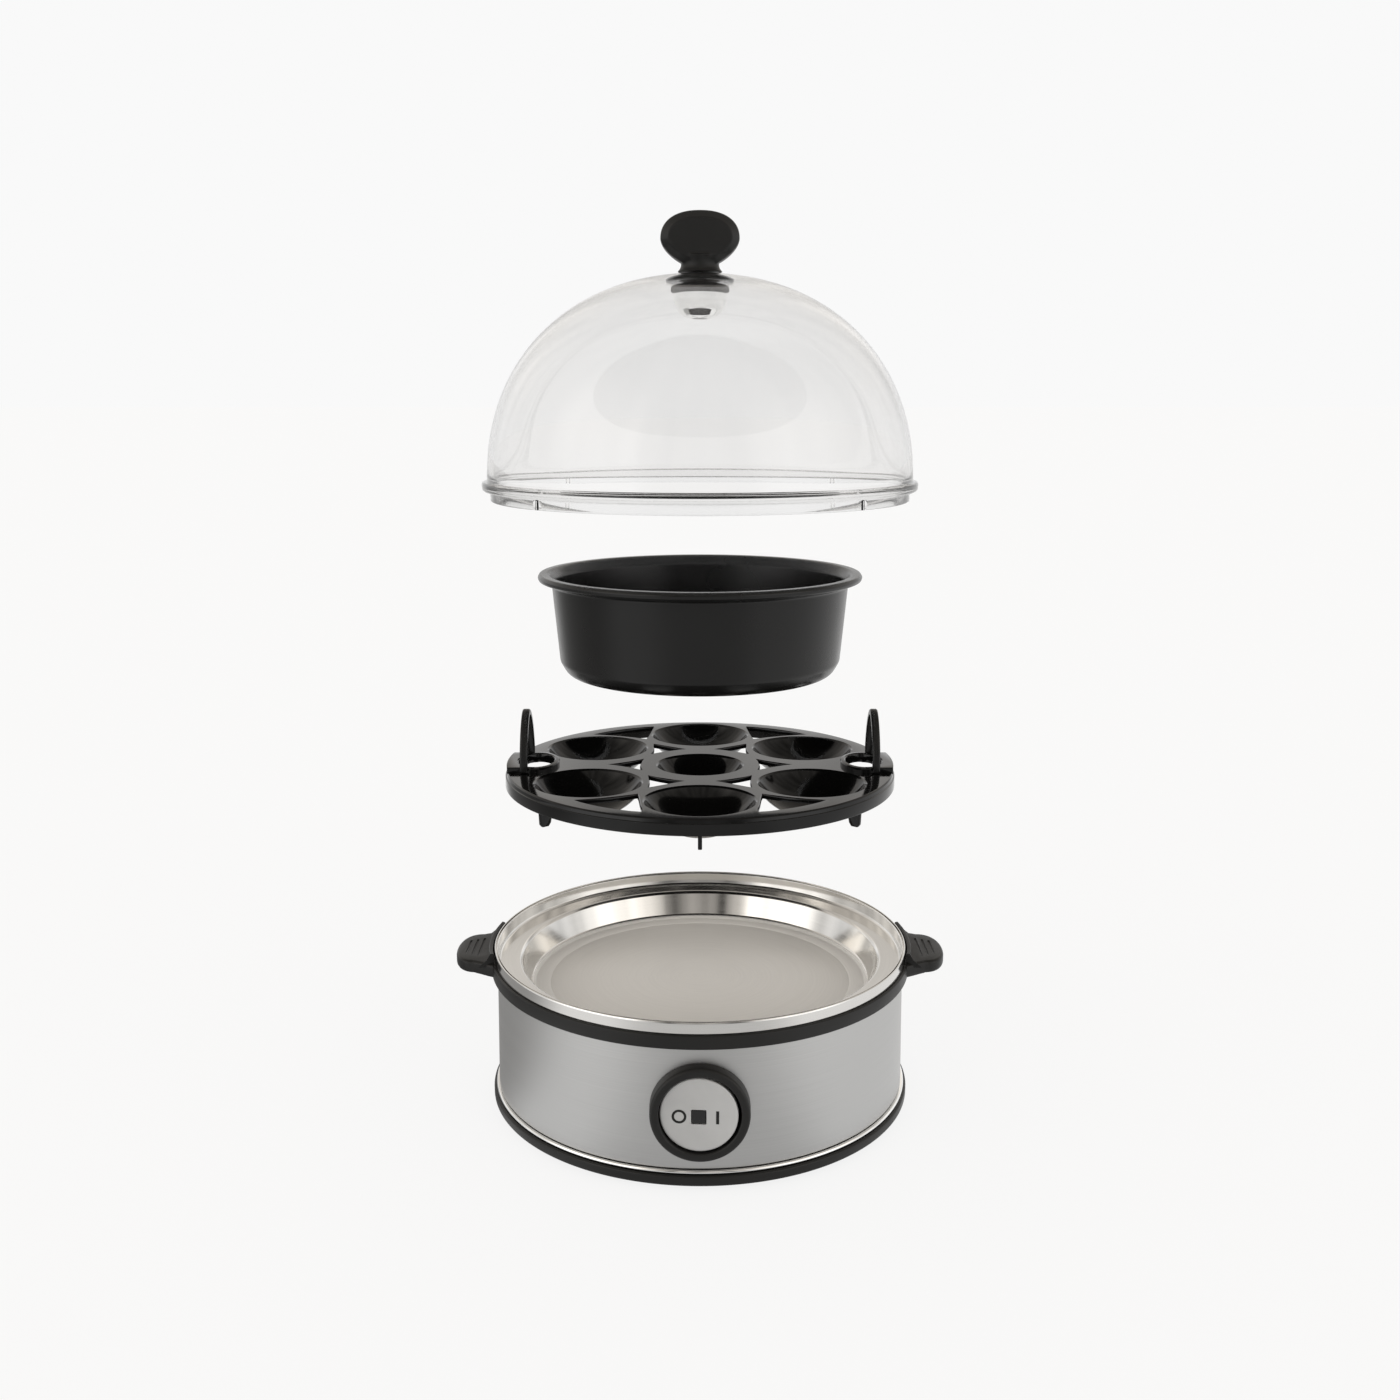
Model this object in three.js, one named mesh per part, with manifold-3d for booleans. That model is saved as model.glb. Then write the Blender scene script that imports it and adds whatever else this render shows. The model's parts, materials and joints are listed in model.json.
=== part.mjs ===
// Egg cooker in its lifted-apart display layout: a steel base with a water pan, an egg tray, a steaming
// bowl and a clear dome lid, stacked above each other on one vertical axis.
// Millimetres, +Z up, origin under the centre of the base, front (switch side) towards -Y.

import * as THREE from "three";
import { mergeVertices } from "three/addons/utils/BufferGeometryUtils.js";
import Module from "manifold-3d";

const wasm = await Module();
wasm.setup();

// ---------------------------------------------------------------- driving dimensions

const ROUND = 36; // segments of the large round shells
const SMALL_ROUND = 16; // segments of screws, feet and other small turned pieces
const GAP = 0.3; // air between pieces that touch

// base, from the table up
const FOOT_HEIGHT = 1.6;
const COVER_FLOOR = 2.2;
const COVER_TOP = 6.4;
const COVER_RADIUS = 84.6;
const TRIM_BOTTOM = 6.7;
const TRIM_TOP = 8.0;
const BAND_BOTTOM = 8.3;
const BAND_TOP = 54.8;
const BAND_RADIUS = 82.1;
const BAND_WALL = 0.9;
const RING_BOTTOM = 55.1;
const RING_TOP = 60.4;
const RING_RADIUS = 84.2;
const RIM_TOP = 65.0;
const RIM_RADIUS = 83.0;
const LEDGE_Z = 59.2;
const LEDGE_INNER_RADIUS = 72.6;
const PAN_FLOOR_Z = 48.0;
const PAN_FLOOR_RADIUS = 67.0;
const SHEET = 1.2; // pressed steel thickness
const HANDLE_REACH = 98.8;
const HANDLE_HALF_WIDTH = 18.6;

// switch
const SWITCH_Z = 31.2;
const BEZEL_FRONT = 87.0; // distance from the base axis to the bezel's front edge
const BEZEL_RADIUS = 18.2;
const BEZEL_BORE = 14.8;
const ROCKER_RADIUS = 14.1;
const ROCKER_FRONT = 86.0;
const ROCKER_PIVOT = 79.8;
const ROCKER_TILT = THREE.MathUtils.degToRad(-4);
const WINDOW_Z = 30.5;
const WINDOW_WIDTH = 5.0;
const WINDOW_HEIGHT = 5.2;

// egg tray
const TRAY_TOP = 137.4;
const TRAY_RADIUS = 76.6;
const TRAY_PLATE = 2.2;
const TRAY_SKIRT_BOTTOM = 131.2;
const TRAY_FOOT_BOTTOM = 125.9;
const CUP_RADIUS = 20.4;
const CENTRE_CUP_RADIUS = 16.9;
const CUP_DEPTH = 12.0;
const CUP_PITCH_FRONT = 51.8; // front and back cups
const CUP_PITCH_SIDE = 50.5; // the two pairs at the sides
const CUP_SIDE_ANGLE = 57; // degrees from the front
const FINGER_HOLE_X = 64.8;
const LOOP_X = 67.6;
const LOOP_TOP = 159.9;
const LOOP_HALF_WIDTH = 14.3;
const LOOP_BAR = 2.6;
const LOOP_EXPONENT = 1.7; // below 2 the arch narrows towards its top

// steaming bowl
const BOWL_BOTTOM = 175.0;
const BOWL_TOP = 214.2;
const BOWL_RIM_RADIUS = 62.4;
const BOWL_WALL = 1.2;

// lid
const DOME_BASE = 248.5;
const DOME_RADIUS = 80.4;
const DOME_HEIGHT = 76.5;
const DOME_EXPONENT = 2.17;
const DOME_WALL = 2.0;
const BEAD_Z = 247.5;
const BEAD_RADIUS = 82.4;
const BEAD_HALF = 1.8;
const SKIRT_RADIUS = 79.3;
const SKIRT_BOTTOM = 242.0;
const DOME_TOP = DOME_BASE + DOME_HEIGHT;
const KNOB_HALF_WIDTH = 14.55;
const KNOB_CENTRE_Z = 337.0;
const KNOB_TOP = 347.1;
const KNOB_DEPTH = 14.0;
const KNOB_BEVEL = 2.9;

// ---------------------------------------------------------------- materials

const finish = (color, roughness, metalness, extra = {}) =>
  new THREE.MeshStandardMaterial({ color, roughness, metalness, ...extra });

const clearPlastic = finish(0xe9ecec, 0.05, 0, { transparent: true, opacity: 0.3 });
const blackPlastic = finish(0x34332f, 0.55, 0);
const glossBlack = finish(0x141413, 0.15, 0);
const nonstick = finish(0x262523, 0.35, 0.2);
const polishedSteel = finish(0xc9c6bf, 0.15, 1);
const brushedSteel = finish(0xaeaeac, 0.35, 1);
const chrome = finish(0xd6d6d4, 0.08, 1);
const silverPaint = finish(0xaaaaa8, 0.4, 0.3);
const rubber = finish(0x1c1c1b, 0.9, 0);
const brass = finish(0xb08d45, 0.35, 1);
const aluminium = finish(0xb9babb, 0.4, 1);
const ceramic = finish(0xe6e1d6, 0.6, 0);
const blueWire = finish(0x2d4f8e, 0.6, 0);
const brownWire = finish(0x5d3a22, 0.6, 0);
const whiteNylon = finish(0xdedcd4, 0.5, 0);

// ---------------------------------------------------------------- geometry helpers

const TAU = 2 * Math.PI;

// One closed surface with its faces pointing out: shared corners merged, slivers of no area dropped.
function closed(source) {
  const bare = source.index ? source.toNonIndexed() : source.clone();
  bare.deleteAttribute("normal");
  bare.deleteAttribute("uv");
  bare.clearGroups();
  const merged = mergeVertices(bare, 1e-4);
  const index = merged.index.array;
  const place = merged.attributes.position;
  const corner = [new THREE.Vector3(), new THREE.Vector3(), new THREE.Vector3()];
  const kept = [];
  let volume = 0;
  for (let i = 0; i < index.length; i += 3) {
    const [a, b, c] = [index[i], index[i + 1], index[i + 2]];
    if (a === b || b === c || a === c) continue;
    kept.push(a, b, c);
    corner.forEach((v, k) => v.fromBufferAttribute(place, [a, b, c][k]));
    volume += corner[0].dot(corner[1].clone().cross(corner[2]));
  }
  if (volume < 0) kept.reverse();
  merged.setIndex(kept);
  return merged;
}

function toSolid(geometry) {
  const shell = closed(geometry);
  return new wasm.Manifold(
    new wasm.Mesh({
      numProp: 3,
      vertProperties: new Float32Array(shell.attributes.position.array),
      triVerts: new Uint32Array(shell.index.array),
    }),
  );
}

function toGeometry(solid) {
  const mesh = solid.getMesh();
  const geometry = new THREE.BufferGeometry();
  geometry.setAttribute("position", new THREE.BufferAttribute(new Float32Array(mesh.vertProperties), 3));
  geometry.setIndex(new THREE.BufferAttribute(new Uint32Array(mesh.triVerts), 1));
  return geometry;
}

const joined = (...shapes) => toGeometry(shapes.map(toSolid).reduce((all, one) => all.add(one)));

function cut(shape, ...tools) {
  return toGeometry(tools.map(toSolid).reduce((left, tool) => left.subtract(tool), toSolid(shape)));
}

// Turned about the vertical axis: profile is a list of [radius, height].
function turned(profile, segments = ROUND) {
  const points = profile.map(([r, z]) => new THREE.Vector2(r, z));
  const lathe = new THREE.LatheGeometry(points, segments);
  lathe.rotateX(Math.PI / 2);
  return lathe;
}

// Turned like the above, for a profile that closes on itself away from the axis.
const turnedRing = (profile, segments = ROUND) => turned([...profile, profile[0]], segments);

// Turned about the front-to-back axis at the switch's height: profile is a list of [radius, distance in
// front of the base axis].
function turnedForward(profile, segments, ring = true) {
  const shape = ring ? turnedRing(profile, segments) : turned(profile, segments);
  shape.rotateX(Math.PI / 2);
  shape.translate(0, 0, SWITCH_Z);
  return shape;
}

function block(width, depth, height, x, y, z) {
  const box = new THREE.BoxGeometry(width, depth, height);
  box.translate(x, y, z);
  return box;
}

function post(radius, bottom, top, x = 0, y = 0, segments = SMALL_ROUND) {
  const cylinder = new THREE.CylinderGeometry(radius, radius, top - bottom, segments);
  cylinder.rotateX(Math.PI / 2);
  cylinder.translate(x, y, (top + bottom) / 2);
  return cylinder;
}

// A cylinder along Y between two distances.
function rodY(radius, from, to, x, z, segments = SMALL_ROUND) {
  const cylinder = new THREE.CylinderGeometry(radius, radius, Math.abs(to - from), segments);
  cylinder.translate(0, (from + to) / 2, 0);
  return cylinder.translate(x, 0, z);
}

// A round tube along a curve.
function tubeAlong(curve, radius, sides, steps) {
  const section = new THREE.Shape();
  for (let i = 0; i < sides; i += 1) {
    const angle = (TAU * i) / sides;
    const point = [radius * Math.cos(angle), radius * Math.sin(angle)];
    if (i === 0) section.moveTo(...point);
    else section.lineTo(...point);
  }
  section.closePath();
  return new THREE.ExtrudeGeometry(section, { steps, extrudePath: curve, curveSegments: 1 });
}

function piece(name, geometry, material, position = [0, 0, 0]) {
  const mesh = new THREE.Mesh(closed(geometry), material);
  mesh.name = name;
  mesh.position.set(...position);
  return mesh;
}

function group(...children) {
  const holder = new THREE.Group();
  holder.add(...children);
  return holder;
}

// [x, y] on a circle, with the angle in degrees measured from the front, positive towards +X.
function around(radius, degrees) {
  const angle = THREE.MathUtils.degToRad(degrees);
  return [radius * Math.sin(angle), -radius * Math.cos(angle)];
}

// ---------------------------------------------------------------- base: shells

function bottomCover() {
  const floorTop = FOOT_HEIGHT + COVER_FLOOR;
  const dish = turned([
    [0, FOOT_HEIGHT],
    [83.0, FOOT_HEIGHT],
    [COVER_RADIUS, FOOT_HEIGHT + 1.4],
    [COVER_RADIUS, COVER_TOP - 0.8],
    [COVER_RADIUS - 0.8, COVER_TOP],
    [80.8, COVER_TOP],
    [80.8, 11],
    [79.0, 11],
    [79.0, floorTop],
    [0, floorTop],
  ]);
  const vents = [];
  for (const side of [-1, 1]) {
    for (let row = 0; row < 4; row += 1) {
      vents.push(block(26, 2.6, 6, side * 18, -15 + 10 * row, floorTop - 1));
    }
  }
  const footHoles = cornerPlaces(FOOT_PLACE).map(([x, y]) => post(2.9, 0, 6, x, y, 16));
  const screwHoles = cornerPlaces(SCREW_PLACE).flatMap(([x, y]) => [
    post(1.9, 0, 6, x, y, 16),
    post(3.7, 0, FOOT_HEIGHT + 1.2, x, y, 16),
  ]);
  return cut(dish, ...vents, ...footHoles, ...screwHoles);
}

const FOOT_PLACE = 62; // radius of the circle that the feet stand on
const SCREW_PLACE = 76.6; // radius of the tie screws

const cornerPlaces = (radius) => [45, 135, 225, 315].map((degrees) => around(radius, degrees));

const rubberFoot = () =>
  turned(
    [
      [0, 0],
      [5.9, 0],
      [6.5, 0.5],
      [6.5, FOOT_HEIGHT - GAP],
      [2.5, FOOT_HEIGHT - GAP],
      [2.5, 4.1],
      [3.5, 4.3],
      [2.2, 6.2],
      [0, 6.2],
    ],
    16,
  );

const trimRing = () =>
  turnedRing([
    [81.2, TRIM_BOTTOM],
    [83.2, TRIM_BOTTOM],
    [83.6, 7.2],
    [83.2, TRIM_TOP],
    [81.2, TRIM_TOP],
  ]);

function outerBand() {
  const inner = BAND_RADIUS - BAND_WALL;
  const tube = turnedRing([
    [inner, BAND_BOTTOM],
    [BAND_RADIUS, BAND_BOTTOM],
    [BAND_RADIUS, BAND_TOP],
    [inner, BAND_TOP],
  ]);
  const switchHole = rodY(15.6, -70, -90, 0, SWITCH_Z, 32);
  const cordHole = rodY(GLAND_NECK + GAP, 70, 90, 0, GLAND_Z);
  return cut(tube, switchHole, cordHole);
}

function upperRing() {
  const ring = turnedRing([
    [79.0, 50.5],
    [80.8, 50.5],
    [80.8, RING_BOTTOM],
    [RING_RADIUS - 0.3, RING_BOTTOM],
    [RING_RADIUS, RING_BOTTOM + 0.5],
    [RING_RADIUS, RING_TOP - 0.5],
    [RING_RADIUS - 0.3, RING_TOP],
    [82.6, RING_TOP],
    [82.6, 57.7],
    [74.5, 57.7],
    [74.5, RING_BOTTOM],
    [79.0, RING_BOTTOM],
  ]);
  const bosses = cornerPlaces(SCREW_PLACE).map(([x, y]) => post(3.2, 42, 57, x, y, 12));
  const bossHoles = cornerPlaces(SCREW_PLACE).map(([x, y]) => post(1.8, 40, 52, x, y, 8));
  const grips = [-1, 1].flatMap((side) => sideGrip(side));
  return cut(joined(ring, ...bosses, ...grips), ...bossHoles);
}

// One side handle: a rounded plate level with the ring, a lip along the pan's rim and grip ribs on top.
function sideGrip(side) {
  const root = 83.4;
  const outline = new THREE.Shape();
  outline.moveTo(root - 2, -HANDLE_HALF_WIDTH - 1);
  outline.quadraticCurveTo(root + 1.5, -HANDLE_HALF_WIDTH, 91, -16.6);
  outline.bezierCurveTo(98, -15, HANDLE_REACH, -9, HANDLE_REACH, 0);
  outline.bezierCurveTo(HANDLE_REACH, 9, 98, 15, 91, 16.6);
  outline.quadraticCurveTo(root + 1.5, HANDLE_HALF_WIDTH, root - 2, HANDLE_HALF_WIDTH + 1);
  const options = {
    depth: 3.4,
    bevelEnabled: true,
    bevelThickness: 0.7,
    bevelSize: 0.8,
    bevelOffset: -0.8,
    bevelSegments: 1,
    curveSegments: 5,
  };
  const plate = new THREE.ExtrudeGeometry(outline, options);
  plate.translate(0, 0, 56.2);
  const bite = post(82.9, 50, 70, 0, 0, ROUND);
  const shapes = [cut(plate, bite), rimLip()];
  for (let rib = 0; rib < 3; rib += 1) {
    shapes.push(block(1.2, 20 - 2 * rib, 1.2, 88.4 + 3.2 * rib, 0, 60.1));
  }
  return shapes.map((shape) => (side < 0 ? shape.clone().rotateZ(Math.PI) : shape));
}

// The low wall that stands against the outside of the pan's rim at a side handle.
function rimLip() {
  const spread = 10.8;
  const start = (spread * Math.PI) / 180;
  const lip = new THREE.Shape();
  lip.absarc(0, 0, 86.2, -start, start, false);
  lip.absarc(0, 0, RIM_RADIUS + 0.45, start, -start, true);
  const wall = new THREE.ExtrudeGeometry(lip, { depth: 5.2, bevelEnabled: false, curveSegments: 5 });
  wall.translate(0, 0, 59.4);
  return wall;
}

const heatingPan = () =>
  turned([
    [0, PAN_FLOOR_Z],
    [PAN_FLOOR_RADIUS, PAN_FLOOR_Z],
    [68.3, PAN_FLOOR_Z + 0.9],
    [71.7, LEDGE_Z - 0.8],
    [LEDGE_INNER_RADIUS, LEDGE_Z],
    [80.5, LEDGE_Z],
    [81.3, LEDGE_Z + 0.8],
    [81.3, RIM_TOP - 1.0],
    [82.0, RIM_TOP],
    [RIM_RADIUS - 0.4, RIM_TOP - 0.2],
    [RIM_RADIUS, RIM_TOP - 0.9],
    [RIM_RADIUS, RING_TOP + GAP],
    [82.2, RING_TOP + GAP],
    [82.2, LEDGE_Z - SHEET],
    [73.3, LEDGE_Z - SHEET],
    [72.8, LEDGE_Z - SHEET - 0.6],
    [69.4, PAN_FLOOR_Z],
    [PAN_FLOOR_RADIUS + 0.6, PAN_FLOOR_Z - SHEET],
    [0, PAN_FLOOR_Z - SHEET],
  ]);

// ---------------------------------------------------------------- base: heater and its control

const PAN_UNDER = PAN_FLOOR_Z - SHEET; // underside of the pan's floor
const ELEMENT_RADIUS = 44;
const ELEMENT_TUBE = 3.2;
const ELEMENT_END = 20; // half of the open angle at the back, in degrees
const PLATE_TOP = PAN_UNDER - 2 * ELEMENT_TUBE - 3 * GAP;
const PLATE_BOTTOM = PLATE_TOP - 1.0;
const STUD_ANGLES = [60, 180, 300];
const STUD_CIRCLE = 30;

class HorizontalArc extends THREE.Curve {
  constructor(radius, from, to, height) {
    super();
    Object.assign(this, { radius, from, to, height });
  }

  getPoint(t, target = new THREE.Vector3()) {
    const [x, y] = around(this.radius, this.from + (this.to - this.from) * t);
    return target.set(x, y, this.height);
  }
}

function heatingElement() {
  const height = PAN_UNDER - GAP - ELEMENT_TUBE;
  const arc = new HorizontalArc(ELEMENT_RADIUS, -180 + ELEMENT_END, 180 - ELEMENT_END, height);
  return tubeAlong(arc, ELEMENT_TUBE, 8, 26);
}

const ELEMENT_END_PLACES = [-1, 1].map((side) => around(ELEMENT_RADIUS, side * (180 - ELEMENT_END - 3)));

function clampPlate() {
  const plate = turnedRing(
    [
      [12, PLATE_BOTTOM],
      [48, PLATE_BOTTOM],
      [48, PLATE_TOP],
      [12, PLATE_TOP],
    ],
    32,
  );
  const holes = [
    ...ELEMENT_END_PLACES.map(([x, y]) => post(3.6, 30, 45, x, y, 12)),
    ...STUD_ANGLES.map((degrees) => post(2.3, 30, 45, ...around(STUD_CIRCLE, degrees), 12)),
    ...[-1, 1].map((side) => post(1.9, 30, 45, side * 17, 0, 12)),
  ];
  return cut(plate, ...holes);
}

const elementPin = () => post(1.7, 29, PAN_UNDER - GAP - 2 * ELEMENT_TUBE - GAP, 0, 0, 12);

const panStud = () => post(1.9, 34.2, PAN_UNDER - GAP, 0, 0, 12);

const studNut = () => cut(post(4.0, PLATE_BOTTOM - GAP - 2.4, PLATE_BOTTOM - GAP, 0, 0, 6), post(2.2, 30, 45, 0, 0, 12));

const thermostat = () =>
  turned(
    [
      [0, 33],
      [6.5, 33],
      [6.5, 40],
      [8.6, 40],
      [8.6, PAN_UNDER - GAP],
      [0, PAN_UNDER - GAP],
    ],
    SMALL_ROUND,
  );

// Strap bent in an omega: it presses the thermostat up against the pan.
function thermostatBracket() {
  const strap = 0.9;
  const low = 33 - GAP;
  const high = PLATE_BOTTOM - GAP;
  const half = [
    [9.5, low],
    [12.6, high],
    [21, high],
    [21, high - strap],
    [13.2, high - strap],
    [10.1, low - strap],
  ];
  const mirrored = half.map(([x, z]) => [-x, z]).reverse();
  const outline = new THREE.Shape([...half, ...mirrored].map(([x, z]) => new THREE.Vector2(x, z)));
  const strip = new THREE.ExtrudeGeometry(outline, { depth: 8, bevelEnabled: false });
  strip.rotateX(Math.PI / 2);
  strip.translate(0, 4, 0);
  return cut(strip, ...[-1, 1].map((side) => post(1.9, 30, 45, side * 17, 0, 12)));
}

function bracketScrew() {
  const seat = PLATE_BOTTOM - GAP - 0.9 - GAP;
  const profile = [
    [0, seat - 1.8],
    [2.4, seat - 1.8],
    [3.0, seat - 0.9],
    [3.0, seat],
    [1.5, seat],
    [1.5, PLATE_TOP + 1.4],
    [0, PLATE_TOP + 1.4],
  ];
  return turned(profile, 12);
}

function thermalFuse() {
  const fuse = new THREE.CylinderGeometry(2.0, 2.0, 15, 12);
  fuse.rotateZ(Math.PI / 2);
  return fuse;
}

const FUSE_PLACE = [0, -24, PLATE_BOTTOM - GAP - 2.9];

// Clip over the fuse, fixed under the clamp plate.
function fuseClip() {
  const clip = new THREE.Shape();
  clip.moveTo(7, 2.9);
  clip.lineTo(7, 2.2);
  clip.lineTo(3.0, 2.2);
  clip.lineTo(3.0, 0);
  clip.absarc(0, 0, 3.0, 0, -Math.PI, true);
  clip.lineTo(-3.0, 2.9);
  clip.lineTo(-2.35, 2.9);
  clip.lineTo(-2.35, 0);
  clip.absarc(0, 0, 2.35, -Math.PI, 0, false);
  clip.lineTo(2.35, 2.9);
  const strap = new THREE.ExtrudeGeometry(clip, { depth: 5, bevelEnabled: false, curveSegments: 8 });
  strap.rotateX(Math.PI / 2);
  strap.rotateZ(Math.PI / 2);
  strap.translate(-2.5, 0, 0);
  return strap;
}

// ---------------------------------------------------------------- base: switch

function switchBezel() {
  const front = turnedForward(
    [
      [BEZEL_BORE, 78],
      [BEZEL_BORE, BEZEL_FRONT - 0.7],
      [BEZEL_BORE + 0.7, BEZEL_FRONT],
      [BEZEL_RADIUS - 1.4, BEZEL_FRONT],
      [BEZEL_RADIUS - 0.3, BEZEL_FRONT - 1.2],
      [BEZEL_RADIUS, 78],
    ],
    32,
  );
  const wall = post(BAND_RADIUS + GAP, 0, 60, 0, 0, ROUND);
  const neck = turnedForward(
    [
      [BEZEL_BORE, 76],
      [BEZEL_BORE, 84],
      [15.3, 84],
      [15.3, 76],
    ],
    32,
  );
  return joined(cut(front, wall), neck);
}

const pocketDepth = 1.6;

function rocker() {
  const disc = turnedForward(
    [
      [0, 82.6],
      [ROCKER_RADIUS - 0.4, 82.6],
      [ROCKER_RADIUS, 83.2],
      [ROCKER_RADIUS, ROCKER_FRONT - 0.5],
      [ROCKER_RADIUS - 0.5, ROCKER_FRONT],
      [0, ROCKER_FRONT],
    ],
    32,
    false,
  );
  const stem = block(14, 5.8, 20.4, 0, -80, SWITCH_Z);
  const trunnion = post(1.2, SWITCH_Z - 12.6, SWITCH_Z + 12.6, 0, -ROCKER_PIVOT, 12);
  const pocket = block(WINDOW_WIDTH + 2 * GAP, 4, WINDOW_HEIGHT + 2 * GAP, 0, pocketDepth - 2 - ROCKER_FRONT, WINDOW_Z);
  const cavity = rodY(2.4, -ROCKER_FRONT, -70, 0, SWITCH_Z, 12);
  return cut(joined(disc, stem, trunnion), pocket, cavity);
}

const windowLens = () =>
  block(WINDOW_WIDTH, pocketDepth - GAP, WINDOW_HEIGHT, 0, -(ROCKER_FRONT - (pocketDepth - GAP) / 2), WINDOW_Z);

const indicatorLamp = () => rodY(1.8, -84.2, -78.2, 0, SWITCH_Z, 12);

function switchBody() {
  const body = block(23, 17, 24, 0, -66.5, SWITCH_Z);
  const ears = [-1, 1].map((side) => block(6, 8, 2.1, 0, -78, SWITCH_Z + 11.9 * side));
  const bearing = post(1.5, SWITCH_Z - 20, SWITCH_Z + 20, 0, -ROCKER_PIVOT, 12);
  const root = [-1, 1].map((side) => block(6, 2.4, 5, 0, -75.2, SWITCH_Z + 10.5 * side));
  return joined(cut(joined(ears[0], ears[0]), bearing), cut(joined(ears[1], ears[1]), bearing), body, ...root);
}

const switchBlade = () => block(4.8, 8, 0.8, 0, -53.7, 0);

const BLADE_HEIGHTS = { line: SWITCH_Z + 5.5, load: SWITCH_Z, neutral: SWITCH_Z - 5.5 };

// ---------------------------------------------------------------- base: supply entry and wiring

const GLAND_Z = 20;
const GLAND_NECK = 6.2;
const GLAND_BORE = 3.6;

function cordGland() {
  const profile = [
    [GLAND_BORE, 76.5],
    [GLAND_BORE, BEZEL_FRONT],
    [6.2, BEZEL_FRONT],
    [8.4, 85.2],
    [8.6, 83.0],
    [GLAND_NECK, 82.6],
    [GLAND_NECK, 80.3],
    [8.2, 80.0],
    [7.8, 76.5],
  ];
  const bush = turnedRing(profile, SMALL_ROUND);
  bush.rotateX(-Math.PI / 2);
  bush.translate(0, 0, GLAND_Z);
  return bush;
}

const BLOCK_Y = 58;

function terminalBlock() {
  const floor = FOOT_HEIGHT + COVER_FLOOR + GAP;
  const body = block(30, 14, 11, 0, BLOCK_Y, floor + 5.5);
  const wells = [-10, 0, 10].map((x) => post(2.1, floor + 6, floor + 15, x, BLOCK_Y, 12));
  return cut(body, ...wells);
}

const terminalScrew = () => post(1.7, 10.4, 13.4, 0, BLOCK_Y, 10);

function wire(points) {
  const curve = new THREE.CatmullRomCurve3(points.map((p) => new THREE.Vector3(...p)));
  return tubeAlong(curve, 1.1, 5, 12);
}

const WIRE_ROUTES = {
  wire_line_to_switch: [
    [-10, 50.3, 9],
    [-11, 45, 9],
    [-34, 12, 18],
    [-24, -34, 32],
    [-4, -44.5, BLADE_HEIGHTS.line],
    [0, -49, BLADE_HEIGHTS.line],
  ],
  wire_switch_to_fuse: [
    [0, -49, BLADE_HEIGHTS.load],
    [1, -45, BLADE_HEIGHTS.load],
    [20, -36, 29],
    [15, -24.5, 33],
    [7.9, -24, 34.6],
  ],
  wire_fuse_to_thermostat: [
    [-7.9, -24, 34.6],
    [-15, -23, 33],
    [-18, -12, 28],
    [-8, -4, 28],
    [-3, 0, 30.6],
  ],
  wire_thermostat_to_element: [
    [3, 0, 30.6],
    [8, 8, 26],
    [18, 26, 24],
    [17.2, 39, 24.5],
    [17.2, 40.5, 27.4],
  ],
  wire_element_to_neutral: [
    [-17.2, 40.5, 27.4],
    [-18, 43, 23],
    [-10, 44, 14],
    [0, 45, 9],
    [0, 50.3, 9],
  ],
  wire_neutral_to_lamp: [
    [10, 50.3, 9],
    [11, 45, 9],
    [36, 10, 14],
    [24, -30, 20],
    [4, -44.5, BLADE_HEIGHTS.neutral],
    [0, -49, BLADE_HEIGHTS.neutral],
  ],
};

// ---------------------------------------------------------------- egg tray

const CUP_ANGLES = [0, CUP_SIDE_ANGLE, 180 - CUP_SIDE_ANGLE, 180, 180 + CUP_SIDE_ANGLE, 360 - CUP_SIDE_ANGLE];
const TRAY_FOOT_ANGLES = [0, 50.5, 129.5, 180, 230.5, 309.5];

const outerCups = () =>
  CUP_ANGLES.map((degrees) => around(degrees % 180 === 0 ? CUP_PITCH_FRONT : CUP_PITCH_SIDE, degrees));

// Cup profiles are parts of a sphere: [radius, height] from the bottom to the mouth.
function sphereArc(mouth, depth, drop, steps) {
  const sphere = (mouth * mouth + depth * depth) / (2 * depth);
  const points = [];
  for (let i = 1; i <= steps; i += 1) {
    const r = mouth * Math.sin(((i / steps) * Math.PI) / 2);
    points.push([r, TRAY_TOP - drop - depth + sphere - Math.sqrt(sphere * sphere - r * r)]);
  }
  return points;
}

const cupDepth = (radius) => CUP_DEPTH * (radius / CUP_RADIUS) ** 0.5;

const cupShell = (radius) => [
  [0, TRAY_TOP - cupDepth(radius) - 1.5],
  ...sphereArc(radius + 1.2, cupDepth(radius), 1.5, 5),
  [0, TRAY_TOP - 1.5],
];

const cupHollow = (radius) => [
  [0, TRAY_TOP - cupDepth(radius)],
  ...sphereArc(radius, cupDepth(radius), 0, 5),
  [radius + 0.2, TRAY_TOP + 0.5],
  [0, TRAY_TOP + 0.5],
];

// Corners of one opening of each kind between the cups; the others are mirror images of these.
const INNER_OPENING = [[5.8, -24.4], [20.4, -18], [19.6, -31.5], [15.5, -35]];
const SIDE_OPENING = [[36, 0], [22.4, -8], [22.4, 8]];
const OUTER_OPENING = [[46, -52], [23, -42.6], [20, -67.5]];
const CUP_ROUND = 22; // segments of the cups
const CUP_RING = 2.6; // solid ring left round each cup

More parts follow.
